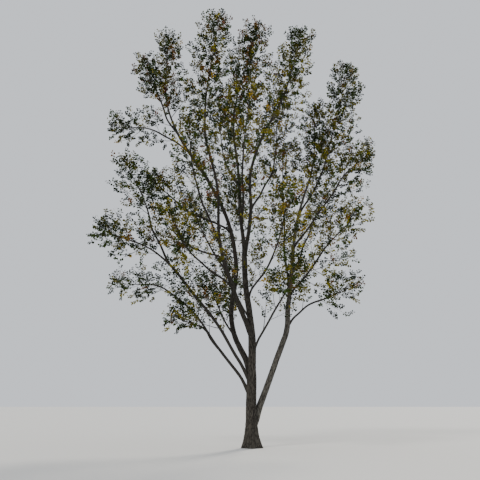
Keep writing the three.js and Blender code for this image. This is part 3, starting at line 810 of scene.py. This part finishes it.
class TreeKit:
    """A node tree under construction, for geometry or for a shader."""

    def __init__(self, tree: Tree) -> None:
        """Takes the tree to build in."""
        self.tree = tree
        self.given: dict[str, Socket] = {}

    @classmethod
    def group(cls, name: str, kind: str, inputs: dict[str, str | float], outputs: dict[str, str]) -> "TreeKit":
        """Starts a node group.

        Args:
            name: The group's name.
            kind: Its type.
            inputs: For each input, its type, or a number that it has when nothing is set.
            outputs: For each output, its type.

        Returns:
            The group's kit, which has its inputs as what is given.
        """
        kit = cls(bpy.data.node_groups.new(name, kind))
        for side, sockets in (("INPUT", inputs), ("OUTPUT", outputs)):
            for label, value in sockets.items():
                typed = value if isinstance(value, str) else "Float"
                made = kit.tree.interface.new_socket(label, in_out=side, socket_type="NodeSocket" + typed)
                if value != typed:
                    made.default_value = value
        kit.given = dict(kit.node("NodeGroupInput").outputs.items())
        return kit

    def ended(self, links: dict[str, Socket]) -> Tree:
        """Returns the group's tree, once its outputs are fed."""
        self.node("NodeGroupOutput", links)
        return self.tree

    def feed(self, node: Node, links: Links) -> None:
        """Sets a node's inputs.

        Args:
            node: The node.
            links: For each input, by name or number, a value or the output that feeds it.
        """
        for key, value in links.items():
            if isinstance(value, Socket):
                self.tree.links.new(value, node.inputs[key])
            else:
                node.inputs[key].default_value = value

    def node(self, kind: str, links: Links | None = None, **settings: object) -> Node:
        """Adds a node.

        Args:
            kind: The node's type.
            links: For each input, by name or number, a value or the output that feeds it.
            **settings: The node's own settings.

        Returns:
            The node.
        """
        made = self.tree.nodes.new(kind)
        for name, value in settings.items():
            setattr(made, name, value)
        self.feed(made, links or {})
        return made

    def first(self, kind: str, links: Links | None = None, **settings: object) -> Socket:
        """Returns the first output of a new node."""
        return self.node(kind, links, **settings).outputs[0]

    def attribute(self, name: str, kind: str) -> Socket:
        """Returns a named attribute of the geometry."""
        made = self.node("GeometryNodeInputNamedAttribute", {"Name": name}, data_type=kind)
        return next(each for each in made.outputs if each.enabled)

    def maths(self, operation: str, *values: object) -> Socket:
        """Returns the result of a sum on numbers."""
        return self.first("ShaderNodeMath", dict(enumerate(values)), operation=operation)

    def vector(self, operation: str, *values: object) -> Socket:
        """Returns the result of a sum on vectors."""
        return self.first("ShaderNodeVectorMath", dict(enumerate(values)), operation=operation)

    def equals(self, value: Socket, number: int) -> Socket:
        """Returns whether a whole number has a value."""
        return self.first("FunctionNodeCompare", {2: value, 3: number}, data_type="INT", operation="EQUAL")

    def ramp(self, value: Socket, low: object, high: object, shape: str = "LINEAR") -> Socket:
        """Returns 0 where a value is low and 1 where it is high, and what lies between."""
        links = {"Value": value, "From Min": low, "From Max": high}
        return self.first("ShaderNodeMapRange", links, interpolation_type=shape)

    def noise(self, vector: Socket, scale: object, detail: float = 2.0, **more: object) -> Socket:
        """Returns soft noise, in four dimensions where W is given."""
        links = {"Vector": vector, "Scale": scale, "Detail": detail, **more}
        return self.first("ShaderNodeTexNoise", links, noise_dimensions="4D" if "W" in more else "3D")

    def blend(self, share: Socket, low: Socket | Colour, high: Socket | Colour) -> Socket:
        """Returns two colours mixed by a share."""
        low, high = (each if isinstance(each, Socket) else (*each, 1) for each in (low, high))
        return self.node("ShaderNodeMix", {0: share, 6: low, 7: high}, data_type="RGBA").outputs[2]

    def dressed(self, geometry: Socket, material: Socket, **more: Socket) -> Socket:
        """Returns geometry that has a material."""
        return self.first("GeometryNodeSetMaterial", {"Geometry": geometry, "Material": material, **more})

    def real(self, geometry: Socket) -> Socket:
        """Returns geometry whose copies are made real."""
        return self.first("GeometryNodeRealizeInstances", {"Geometry": geometry})


def principled(name: str) -> tuple[Material, TreeKit, Node]:
    """Makes a material with one shader.

    Args:
        name: The material's name.
    """
    material = bpy.data.materials.new(name)
    material.use_nodes = True
    return material, TreeKit(material.node_tree), material.node_tree.nodes["Principled BSDF"]


@dataclass(frozen=True)
class PlainFinish:
    """A finish of one plain colour, for a leaf, a twig or the floor."""

    name: str
    colour: Colour
    roughness: float = 0.55
    gloss: float = 0.1

    def material(self) -> Material:
        """Makes the finish's material.

        Returns:
            The material.
        """
        made, kit, shader = principled(self.name)
        looks = {"Base Color": (*self.colour, 1), "Roughness": self.roughness, "Specular IOR Level": self.gloss}
        kit.feed(shader, looks)
        return made


SHADES = (
    PlainFinish("deep_green_leaf", (0.012, 0.023, 0.004)),
    PlainFinish("green_leaf", (0.035, 0.060, 0.005)),
    PlainFinish("olive_leaf", (0.100, 0.092, 0.004)),
    PlainFinish("yellow_green_leaf", (0.210, 0.182, 0.006)),
    PlainFinish("gold_leaf", (0.345, 0.220, 0.007)),
    PlainFinish("bronze_leaf", (0.140, 0.060, 0.006)),
    PlainFinish("rust_leaf", (0.175, 0.046, 0.007)),
)
PALETTES = {
    Tint.GREEN: (0.42, 0.31, 0.17, 0.06, 0.01, 0.03, 0.00),
    Tint.OLIVE: (0.26, 0.26, 0.32, 0.11, 0.02, 0.03, 0.00),
    Tint.GOLD: (0.16, 0.19, 0.34, 0.22, 0.05, 0.04, 0.00),
    Tint.BRONZE: (0.32, 0.26, 0.22, 0.07, 0.01, 0.10, 0.02),
}
TWIG_FINISHES = (
    PlainFinish("stem_bark", (0.032, 0.027, 0.020), 0.85, 0.5),
    PlainFinish("branchlet_bark", (0.030, 0.024, 0.017), 0.8, 0.5),
    PlainFinish("young_twig_bark", (0.040, 0.027, 0.016), 0.7, 0.5),
)


def carved(source: Thing, tree: Tree, **values: object) -> Mesh:
    """Runs a node tree on an object and keeps the result as a plain mesh.

    Args:
        source: The object, which is removed.
        tree: The tree.
        **values: The tree's inputs, by name in small letters with _ for a space.

    Returns:
        The result.
    """
    modifier = source.modifiers.new("growth", "NODES")
    modifier.node_group = tree
    for item in tree.interface.items_tree:
        key = item.name.lower().replace(" ", "_")
        if item.in_out == "INPUT" and key in values:
            modifier[item.identifier] = values[key]
    depsgraph = bpy.context.evaluated_depsgraph_get()
    mesh = bpy.data.meshes.new_from_object(source.evaluated_get(depsgraph))
    plain = source.data
    bpy.data.objects.remove(source)
    bpy.data.meshes.remove(plain)
    return mesh


def placed(name: str, mesh: Mesh) -> Thing:
    """Puts a mesh in the scene at the origin.

    Args:
        name: The object's name.
        mesh: Its mesh.

    Returns:
        The object.
    """
    made = bpy.data.objects.new(name, mesh)
    bpy.context.scene.collection.objects.link(made)
    return made


def stored(mesh: Mesh, name: str, kind: str, values: Array) -> None:
    """Keeps a named value of a kind on each point of a mesh."""
    layer = mesh.attributes.new(name, kind, "POINT")
    layer.data.foreach_set("vector" if kind == "FLOAT_VECTOR" else "value", np.ravel(values))


def finished(name: str, mesh: Mesh, slot: str, *nodes: str) -> None:
    """Places a finished piece on the root body, and hides the solids that it stands for.

    Args:
        name: The piece's name.
        mesh: Its mesh.
        slot: The material slot of its finish; not used.
        *nodes: The solids that it replaces.
    """
    piece = placed(name, mesh)
    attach(piece, "root")
    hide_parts(*nodes)
    faces = sum(len(polygon.vertices) - 2 for polygon in piece.data.polygons)
    LOG.info("%s: %d triangles for %d solids", piece.name, faces, len(nodes))


@dataclass
class TwigWork:
    """The stems, branchlets and twigs of the crown, as round tubes joined by the colour of their plumes."""

    sides: tuple[int, int, int] = (8, 5, 3)

    def tree(self) -> Tree:
        """Builds the tree that turns paths into tubes, with more sides on thicker wood.

        Returns:
            The tree.
        """
        ranks = range(len(self.sides))
        inputs = {"Paths": "Geometry", **{f"Sides {rank}": "Int" for rank in ranks}}
        inputs |= {f"Bark {rank}": "Material" for rank in ranks}
        kit = TreeKit.group("Twig Tubes", "GeometryNodeTree", inputs, {"Twigs": "Geometry"})
        order = kit.attribute("order", "INT")
        thickness = kit.attribute("thickness", "FLOAT")
        joined = kit.node("GeometryNodeJoinGeometry")
        for rank in ranks:
            links = {"Geometry": kit.given["Paths"], "Selection": kit.equals(order, rank)}
            part = kit.first("GeometryNodeSeparateGeometry", links, domain="POINT")
            paths = kit.first("GeometryNodeMeshToCurve", {"Mesh": part})
            ring = kit.first("GeometryNodeCurvePrimitiveCircle", {"Resolution": kit.given[f"Sides {rank}"]})
            links = {"Curve": paths, "Profile Curve": ring, "Scale": thickness, "Fill Caps": True}
            tubes = kit.first("GeometryNodeCurveToMesh", links)
            kit.feed(joined, {0: kit.dressed(tubes, kit.given[f"Bark {rank}"])})
        return kit.ended({"Twigs": kit.real(joined.outputs[0])})

    def paths(self, name: str, growths: list[PlumeGrowth]) -> Thing:
        """Lays out the paths of all the wood in some plumes.

        Args:
            name: The object's name.
            growths: The plumes.

        Returns:
            An object of bare edges, with each point's thickness and order.
        """
        points, radii, orders, edges, count = [], [], [], [], 0
        for growth in growths:
            for order, wood in enumerate((growth.stem, growth.branchlets, growth.twigs)):
                number, knots = wood.points.shape[:2]
                first = count + np.arange(number)[:, None] * knots + np.arange(knots - 1)
                edges.append(np.stack([first, first + 1], axis=-1).reshape(-1, 2))
                points.append(wood.points.reshape(-1, 3))
                radii.append(wood.radii.reshape(-1))
                orders.append(np.full(number * knots, order))
                count += number * knots
        mesh = bpy.data.meshes.new(name)
        mesh.from_pydata(np.concatenate(points), np.concatenate(edges), [])
        stored(mesh, "thickness", "FLOAT", np.concatenate(radii))
        stored(mesh, "order", "INT", np.concatenate(orders))
        return placed(name, mesh)

    def build(self, groups: dict[Tint, list[PlumeGrowth]]) -> None:
        """Builds the twigs of every group of plumes.

        Args:
            groups: The plumes of each tint.
        """
        tree = self.tree()
        values = {f"sides_{rank}": sides for rank, sides in enumerate(self.sides)}
        values |= {f"bark_{rank}": finish.material() for rank, finish in enumerate(TWIG_FINISHES)}
        for tint, growths in groups.items():
            name = tint.value.replace("foliage", "twigs")
            mesh = carved(self.paths(name + "_paths", growths), tree, **values)
            mesh.shade_smooth()
            finished(name, mesh, "bark_limbs", *(each.limb.size.foliage() for each in growths))


@dataclass
class Foliage:
    """The leaves of the crown, joined by the colour of their plumes, each spray of one shade."""

    def tree(self) -> Tree:
        """Builds the tree that sets a leaf on each root and gives each spray its material.

        Returns:
            The tree.
        """
        inputs = {"Roots": "Geometry", "Leaf Forms": "Collection"}
        inputs |= {finish.name: "Material" for finish in SHADES}
        kit = TreeKit.group("Leaf Sprays", "GeometryNodeTree", inputs, {"Leaves": "Geometry"})
        layers = {name: kit.attribute(name, kind) for name, kind in LEAF_LAYERS.items()}
        links = {"Collection": kit.given["Leaf Forms"], "Separate Children": True, "Reset Children": True}
        forms = kit.first("GeometryNodeCollectionInfo", links)
        along = kit.first("FunctionNodeAlignRotationToVector", {"Vector": layers["aim"]}, axis="Y")
        links = {"Rotation": along, "Vector": layers["face"]}
        turned = kit.first("FunctionNodeAlignRotationToVector", links, axis="Z", pivot_axis="Y")
        links = {"Points": kit.given["Roots"], "Instance": forms, "Pick Instance": True}
        links |= {"Instance Index": layers["kind"], "Rotation": turned, "Scale": layers["size"]}
        leaves = kit.real(kit.first("GeometryNodeInstanceOnPoints", links))
        for number, finish in enumerate(SHADES):
            chosen = kit.equals(layers["shade"], number)
            leaves = kit.dressed(leaves, kit.given[finish.name], Selection=chosen)
        return kit.ended({"Leaves": leaves})

    def forms(self) -> bpy.types.Collection:
        """Makes the leaf forms to copy.

        Returns:
            A collection that holds one object for each.
        """
        held = bpy.data.collections.new("leaf_forms")
        for number, form in enumerate(LEAF_FORMS):
            name = f"leaf_form_{number}"
            held.objects.link(bpy.data.objects.new(name, form.mesh(name)))
        return held

    def roots(self, name: str, growths: list[PlumeGrowth]) -> Thing:
        """Lays out the roots of all the leaves in some plumes.

        Args:
            name: The object's name.
            growths: The plumes.

        Returns:
            An object of bare points, with each leaf's aim, face, size, shade and form.
        """
        mesh = bpy.data.meshes.new(name)
        mesh.from_pydata(np.concatenate([each.leaves.root for each in growths]), [], [])
        for layer, kind in LEAF_LAYERS.items():
            stored(mesh, layer, kind, np.concatenate([getattr(each.leaves, layer) for each in growths]))
        return placed(name, mesh)

    def build(self, groups: dict[Tint, list[PlumeGrowth]]) -> None:
        """Builds the leaves of every group of plumes.

        Args:
            groups: The plumes of each tint.
        """
        tree, forms = self.tree(), self.forms()
        shades = {finish.name: finish.material() for finish in SHADES}
        for tint, growths in groups.items():
            name = tint.value.replace("foliage", "leaves")
            mesh = carved(self.roots(name + "_roots", growths), tree, leaf_forms=forms, **shades)
            for layer in LEAF_LAYERS:
                if layer in mesh.attributes:
                    mesh.attributes.remove(mesh.attributes[layer])
            finished(name, mesh, tint.value, *(each.limb.size.foliage() for each in growths))
        for each in list(forms.objects):
            bpy.data.objects.remove(each)
        bpy.data.collections.remove(forms)


class BarkPatterns:
    """The effects that every bark shares, as shader node groups that read the bark's own grain."""

    def __init__(self) -> None:
        """Builds the groups once."""
        self.blotches = self.build_blotches()
        self.flakes = self.build_flakes()

    def build_blotches(self) -> Tree:
        """Builds the soft-edged patches that lichen and weather make.

        Returns:
            A group that puts out a mask.
        """
        inputs = {"Grain": "Vector", "Size": 0.2, "Cover": 0.4, "Softness": 0.08}
        kit = TreeKit.group("Bark Blotches", "ShaderNodeTree", inputs, {"Mask": "Float"})
        scale = kit.maths("DIVIDE", 1.0, kit.given["Size"])
        noise = kit.noise(kit.given["Grain"], scale, 5.0, Roughness=0.65)
        bare_edge, covered = 0.72, 0.45
        edge = kit.maths("SUBTRACT", bare_edge, kit.maths("MULTIPLY", kit.given["Cover"], covered))
        low, high = (kit.maths(way, edge, kit.given["Softness"]) for way in ("SUBTRACT", "ADD"))
        return kit.ended({"Mask": kit.ramp(noise, low, high)})

    def build_flakes(self) -> Tree:
        """Builds the small cracks and flakes on the ridges.

        Returns:
            A group that puts out a height and a value that varies from flake to flake.
        """
        outputs = {"Height": "Float", "Value": "Float"}
        kit = TreeKit.group("Bark Flakes", "ShaderNodeTree", {"Grain": "Vector", "Flake Size": 0.03}, outputs)
        upright, crack, fine_scale, fine_share = (1.0, 1.0, 0.35), 0.18, 260.0, 0.5
        stretched = kit.vector("MULTIPLY", kit.given["Grain"], upright)
        links = {"Vector": stretched, "Scale": kit.maths("DIVIDE", 1.0, kit.given["Flake Size"])}
        cracks = kit.ramp(kit.first("ShaderNodeTexVoronoi", links, feature="DISTANCE_TO_EDGE"), 0.0, crack)
        flakes = kit.node("ShaderNodeTexVoronoi", links).outputs["Color"]
        fine = kit.maths("MULTIPLY", kit.noise(stretched, fine_scale, 3.0), fine_share)
        value = kit.first("ShaderNodeSeparateColor", {0: flakes})
        return kit.ended({"Height": kit.maths("ADD", cracks, fine), "Value": value})


@dataclass(frozen=True)
class BarkFinish:
    """The bark of a limb: with furrows where it is thick, and smooth where it is thin.

    Aging is the radii between which it changes. A weather patch has a size, a cover and a
    softness, and a lichen patch a size and a softness. Tones are how far flakes and weather
    lighten a ridge. A pair of values is a factor and what is added to it. The furrow colour is
    near black: painted shade at the bottom of the furrows.
    """

    name: str
    ridge: Colour
    # furrow: near black, painted shade at the bottom of the furrows
    furrow: Colour
    smooth: Colour
    lichen: Colour
    lichen_cover: float
    flake: float
    aging: Pair
    weather_patch: Triple = (0.35, 0.6, 0.2)
    lichen_patch: Pair = (0.06, 0.03)
    worn: float = 1.45
    darker: float = 0.72
    flake_tone: float = 0.35
    weather_tone: float = 0.5
    lichen_by_ridge: Pair = (0.55, 0.15)
    relief_by_age: Pair = (0.8, 0.2)
    roughness_by_flake: Pair = (0.12, 0.82)
    bump_strength: float = 0.9
    bump_height: float = 0.008
    gloss: float = 0.25

    def material(self, patterns: BarkPatterns) -> Material:
        """Makes the bark's material.

        Args:
            patterns: The shared node groups.

        Returns:
            The material.
        """
        made, kit, shader = principled(self.name)
        grain = kit.node("ShaderNodeAttribute", attribute_name="grain").outputs["Vector"]
        ridge, girth = (
            kit.node("ShaderNodeAttribute", attribute_name=name).outputs["Fac"] for name in ("ridge", "girth")
        )
        links = {"Grain": grain, "Flake Size": self.flake}
        flakes = kit.node("ShaderNodeGroup", links, node_tree=patterns.flakes).outputs
        lichen_size, lichen_soft = self.lichen_patch
        patches = []
        for size, cover, soft in (self.weather_patch, (lichen_size, self.lichen_cover, lichen_soft)):
            links = {"Grain": grain, "Size": size, "Cover": cover, "Softness": soft}
            patches.append(kit.first("ShaderNodeGroup", links, node_tree=patterns.blotches))
        weather, lichen = patches
        aged = kit.ramp(girth, *self.aging)
        weathered = kit.maths("MULTIPLY", weather, self.weather_tone)
        varied = kit.maths("MULTIPLY_ADD", flakes["Value"], self.flake_tone, weathered)
        worn = kit.blend(varied, self.ridge, tuple(self.worn * part for part in self.ridge))
        # The ridge mark blends each ridge towards the near-black furrow colour: painted shade in the furrows
        bark_with_painted_furrow_shade = kit.blend(ridge, self.furrow, worn)
        bare = kit.blend(weather, self.smooth, tuple(self.darker * part for part in self.smooth))
        patched = kit.maths("MULTIPLY", lichen, kit.maths("MULTIPLY_ADD", ridge, *self.lichen_by_ridge))
        relief = kit.maths("MULTIPLY", flakes["Height"], kit.maths("MULTIPLY_ADD", aged, *self.relief_by_age))
        bump = {"Height": relief, "Strength": self.bump_strength, "Distance": self.bump_height}
        links = {
            "Base Color": kit.blend(patched, kit.blend(aged, bare, bark_with_painted_furrow_shade), self.lichen),
            "Roughness": kit.maths("MULTIPLY_ADD", flakes["Value"], *self.roughness_by_flake),
            "Normal": kit.first("ShaderNodeBump", bump),
            "Specular IOR Level": self.gloss,
        }
        kit.feed(shader, links)
        return made


# The second colour of each bark is its furrow colour, near black: painted shade in the furrows
TRUNK_BARK = BarkFinish(
    "trunk_bark", (0.058, 0.051, 0.042), (0.011, 0.009, 0.007), (0.051, 0.047, 0.040),
    (0.102, 0.107, 0.088), 0.24, 0.035, (0.03, 0.09),
)
LIMB_BARK = BarkFinish(
    "limb_bark", (0.047, 0.041, 0.033), (0.010, 0.008, 0.006), (0.037, 0.033, 0.027),
    (0.080, 0.085, 0.068), 0.20, 0.028, (0.05, 0.13),
)
PALE_BARK = BarkFinish(
    "pale_stem_bark", (0.106, 0.097, 0.083), (0.021, 0.018, 0.014), (0.090, 0.083, 0.070),
    (0.140, 0.147, 0.120), 0.30, 0.030, (0.05, 0.13),
)


@dataclass(frozen=True)
class BarkRelief:
    """The relief that is carved in bark.

    Depth grows with the square of the limb's radius, up to the deepest, and lumps with the radius.
    The furrow is a share of the ridge, and the whole cut is sunk below the limb's own surface.
    """

    ridge_width: float = 0.045
    ridge_length: float = 0.24
    depth: float = 0.32
    deepest: float = 0.013
    lumps: float = 0.16
    furrow: float = 0.22
    crumble: float = 0.5
    crumb_scale: float = 4.0
    sunk: float = 1.25
    lump_scale: float = 2.2

    def tree(self) -> Tree:
        """Builds the tree that carves the bark: long ridges between narrow furrows, over soft lumps.

        Returns:
            The tree.
        """
        inputs = {"Smooth Limb": "Geometry", "Seed": "Float", "Bark": "Material"}
        inputs |= {"Ridge Width": self.ridge_width, "Ridge Length": self.ridge_length}
        inputs |= {"Depth": self.depth, "Deepest": self.deepest, "Lumps": self.lumps}
        kit = TreeKit.group("Bark Relief", "GeometryNodeTree", inputs, {"Limb": "Geometry"})
        grain, girth = kit.attribute("grain", "FLOAT_VECTOR"), kit.attribute("girth", "FLOAT")
        width, length = kit.given["Ridge Width"], kit.given["Ridge Length"]
        scaled = kit.vector("DIVIDE", grain, kit.first("ShaderNodeCombineXYZ", {0: width, 1: width, 2: length}))
        wave = kit.noise(scaled, 1.0, W=kit.given["Seed"], Distortion=0.35)
        apart = kit.maths("ABSOLUTE", kit.maths("MULTIPLY_ADD", wave, 2.0, -1.0))
        ridge = kit.ramp(apart, 0.0, self.furrow, "SMOOTHSTEP")
        crumbs = kit.noise(scaled, self.crumb_scale)
        deep = kit.maths("MULTIPLY", kit.maths("MULTIPLY", girth, girth), kit.given["Depth"])
        deep = kit.maths("MINIMUM", deep, kit.given["Deepest"])
        cut = kit.maths("MULTIPLY_ADD", crumbs, self.crumble, kit.maths("SUBTRACT", ridge, self.sunk))
        swell = kit.maths("SUBTRACT", kit.noise(grain, self.lump_scale, 1.0), 0.5)
        lump = kit.maths("MULTIPLY", swell, kit.maths("MULTIPLY", girth, kit.given["Lumps"]))
        links = {0: kit.first("GeometryNodeInputNormal"), "Scale": kit.maths("MULTIPLY_ADD", cut, deep, lump)}
        offset = kit.first("ShaderNodeVectorMath", links, operation="SCALE")
        place = kit.vector("ADD", kit.first("GeometryNodeInputPosition"), offset)
        above = kit.vector("MAXIMUM", place, (-ANY, -ANY, 0.0))
        moved = kit.first("GeometryNodeSetPosition", {"Geometry": kit.given["Smooth Limb"], "Position": above})
        # The ridge mark is kept for the bark's material, which paints shade into the furrows with it
        links = {"Geometry": moved, "Name": "ridge", "Value": ridge}
        marked = kit.first("GeometryNodeStoreNamedAttribute", links, data_type="FLOAT", domain="POINT")
        return kit.ended({"Limb": kit.real(kit.dressed(marked, kit.given["Bark"]))})


@dataclass
class LimbSkin:
    """The trunk, stems and boughs as fine tubes with bark relief, flaring at the foot and at each fork.

    The crotch's length and drop are in radii of the limb that a bough leaves, and the bough is
    tucked to a share of that radius. A bough's faces stretch along it, and grain shifts by limb.
    """

    limbs: list[Limb]
    relief: BarkRelief = BarkRelief()
    flare_height: float = 0.42
    flare_width: float = 0.75
    lobes: int = 5
    lobe_depth: float = 0.3
    collar: float = 0.22
    crotch_length: float = 4.5
    crotch_drop: float = 1.9
    tucked: float = 0.8
    trunk_sides: int = 128
    trunk_rings: int = 380
    ring_crowding: float = 1.35
    sides: tuple[int, int] = (14, 48)
    face: float = 0.016
    stretch: float = 2.6
    spare_rings: int = 4
    grain_shift: float = 7.3
    sharpest: float = 70.0

    def shares(self, limb: Limb) -> tuple[Array, int]:
        """Chooses a limb's rings and sides.

        Args:
            limb: The limb.

        Returns:
            The rings' shares of the way along, and the number of sides.
        """
        if not limb.parent:
            ground = limb.line.share_at_height(0.0)
            return mix(ground, 1.0, np.linspace(0, 1, self.trunk_rings) ** self.ring_crowding), self.trunk_sides
        around = 2 * math.pi * float(limb.radius(0.5))
        sides = int(np.clip(around / self.face, *self.sides))
        rings = int(limb.line.length / (self.stretch * around / sides)) + self.spare_rings
        return np.linspace(0, 1, rings), sides

    def centres(self, limb: Limb, share: Array) -> tuple[Array, Array]:
        """Draws a limb's centre line, whose start runs down inside the limb that carries it.

        Args:
            limb: The limb.
            share: The rings' shares of the way along.

        Returns:
            The rings' centres, and how far each is from its parent's axis, in the parent's radii.
        """
        points = limb.line.at(share)
        if not limb.parent:
            return points, np.full(len(share), np.inf)
        girth, axis = limb.fork_girth(), limb.parent.line.spokes(limb.leaves_at)[0]
        inner = np.clip(1 - share * limb.line.length / (self.crotch_length * girth), 0, 1)
        points = points - axis * (self.crotch_drop * girth * inner**2)[:, None]
        away = points - limb.parent.line.at(limb.leaves_at)
        return points, np.linalg.norm(away - axis * (away @ axis)[:, None], axis=1) / girth

    def radii(self, limb: Limb, share: Array, angle: Array, heights: Array, outside: Array) -> Array:
        """Gives a limb's radius on a grid of rings and angles, with root flare or fork collar.

        Args:
            limb: The limb.
            share: The rings' shares of the way along.
            angle: The angles round it.
            heights: The rings' heights.
            outside: How far each ring is from the parent's axis, in the parent's radii.

        Returns:
            A radius for each ring and angle.
        """
        plain = np.repeat(limb.radius(share)[:, None], len(angle), axis=1)
        if not limb.parent:
            lobes = 1 + self.lobe_depth * np.cos(self.lobes * angle)
            return plain * (1 + self.flare_width * np.exp(-heights / self.flare_height)[:, None] * lobes)
        girth = limb.fork_girth()
        hidden = np.clip(1 - outside, 0, 1)[:, None]
        fading = np.exp(-np.maximum(outside - 1, 0) * girth / (2 * limb.root))[:, None]
        swell = self.collar * fading * (1 - hidden)
        return mix(plain * (1 + swell), np.minimum(plain, self.tucked * girth), hidden**2)

    def smooth_limb(self, number: int, limb: Limb) -> Thing:
        """Makes a limb's closed tube before its bark is carved.

        Args:
            number: The limb's number.
            limb: The limb.

        Returns:
            The tube, with its grain and girth on its points.
        """
        share, sides = self.shares(limb)
        angle = np.arange(sides) * 2 * math.pi / sides
        centres, outside = self.centres(limb, share)
        forward = unit(np.gradient(centres, axis=0))
        across = unit(limb.line.side - forward * (forward @ limb.line.side)[:, None])
        over = np.cross(across, forward)
        radius = self.radii(limb, share, angle, centres[:, 2], outside)
        turn = np.stack([np.cos(angle), np.sin(angle)], axis=1)
        out = across[:, None] * turn[:, :1] + over[:, None] * turn[:, 1:]
        points = centres[:, None] + out * radius[..., None]
        if not limb.parent:
            points[0, :, 2] = 0.0
        level = np.repeat((share * limb.line.length + self.grain_shift * number)[:, None], sides, axis=1)
        grain = np.concatenate([radius[..., None] * turn, level[..., None]], axis=2)
        ring, step = np.arange(len(share) - 1)[:, None] * sides, np.arange(sides)
        after = (step + 1) % sides
        walls = np.stack([ring + step, ring + sides + step, ring + sides + after, ring + after], axis=-1)
        last = sides * (len(share) - 1)
        caps = [list(range(sides)), list(range(last + sides - 1, last - 1, -1))]
        mesh = bpy.data.meshes.new(limb.size.name)
        mesh.from_pydata(points.reshape(-1, 3), [], walls.reshape(-1, 4).tolist() + caps)
        stored(mesh, "grain", "FLOAT_VECTOR", grain)
        stored(mesh, "girth", "FLOAT", np.repeat(limb.radius(share), sides))
        return placed("smooth_" + limb.size.name, mesh)

    def build(self, patterns: BarkPatterns) -> None:
        """Builds every limb with its bark.

        Args:
            patterns: The shared node groups.
        """
        tree = self.relief.tree()
        trunk, usual, pale = (bark.material(patterns) for bark in (TRUNK_BARK, LIMB_BARK, PALE_BARK))
        chosen = {"trunk": trunk, "second_stem": pale}
        for number, limb in enumerate(self.limbs):
            name = limb.size.name
            bark = chosen.get(name, usual)
            mesh = carved(self.smooth_limb(number, limb), tree, bark=bark, seed=float(number))
            mesh.shade_smooth()
            mesh.set_sharp_from_angle(angle=math.radians(self.sharpest))
            finished(name + "_bark", mesh, "bark_limbs" if limb.parent else "bark_trunk", name)


@dataclass(frozen=True)
class Lamp:
    """A distant soft lamp, at degrees from the camera's side towards the left and at degrees above level."""

    name: str
    strength: float
    bearing: float
    height: float
    colour: Colour
    softness: float = 14.0

    def build(self) -> None:
        """Adds the lamp to the scene."""
        data = bpy.data.lights.new(self.name, "SUN")
        data.energy, data.angle, data.color = self.strength, math.radians(self.softness), self.colour
        lamp = bpy.data.objects.new(self.name, data)
        lamp.rotation_euler = (math.radians(90 - self.height), 0, -math.radians(self.bearing))
        bpy.context.scene.collection.objects.link(lamp)


@dataclass
class Studio:
    """A plain pale floor and plain soft light."""

    floor_size: float = 600.0
    floor: PlainFinish = PlainFinish("pale_floor", (0.55, 0.55, 0.54), 0.9, 0.5)
    sky: Colour = (0.90, 0.94, 1.0)
    sky_strength: float = 0.9
    lamps: tuple[Lamp, ...] = (
        Lamp("key_light", 1.3, 40.0, 42.0, (1.0, 0.97, 0.92)),
        Lamp("rim_light", 3.0, -152.0, 34.0, (1.0, 0.93, 0.80)),
    )

    def build(self) -> None:
        """Builds the floor, the surrounding light and two soft lamps."""
        half = self.floor_size / 2
        mesh = bpy.data.meshes.new("floor")
        corners = [(-half, -half, 0), (half, -half, 0), (half, half, 0), (-half, half, 0)]
        mesh.from_pydata(corners, [], [(0, 1, 2, 3)])
        mesh.materials.append(self.floor.material())
        placed("floor", mesh)
        world = bpy.data.worlds.new("soft_sky")
        world.use_nodes = True
        light = world.node_tree.nodes["Background"].inputs
        light["Color"].default_value, light["Strength"].default_value = (*self.sky, 1), self.sky_strength
        bpy.context.scene.world = world
        for lamp in self.lamps:
            lamp.build()


@dataclass
class PhotoCamera:
    """The viewing angle of the photograph: a standing person's, looking up at the crown."""

    place: Triple = (-0.459, -21.3, 1.6)
    pitch: float = 17.5
    lens: float = 39.0
    farthest: float = 1000.0

    def build(self) -> None:
        """Makes the camera and gives it to the scene."""
        data = bpy.data.cameras.new("photo_camera")
        data.lens, data.clip_end = self.lens, self.farthest
        camera = bpy.data.objects.new("photo_camera", data)
        camera.location = self.place
        camera.rotation_euler = (math.radians(90 + self.pitch), 0, 0)
        bpy.context.scene.collection.objects.link(camera)
        bpy.context.scene.camera = camera


def main() -> None:
    """Builds the camera, the studio, the limbs, the twigs and the leaves, in that order."""
    logging.basicConfig(level=logging.INFO, format="%(name)s %(message)s")
    PhotoCamera().build()
    Studio().build()
    limbs = Skeleton().grow()
    LimbSkin(limbs).build(BarkPatterns())
    growths = Crown(limbs).grow()
    groups = {tint: [each for each in growths if each.limb.size.tint is tint] for tint in Tint}
    TwigWork().build(groups)
    Foliage().build(groups)


if __name__ == "__main__":
    main()
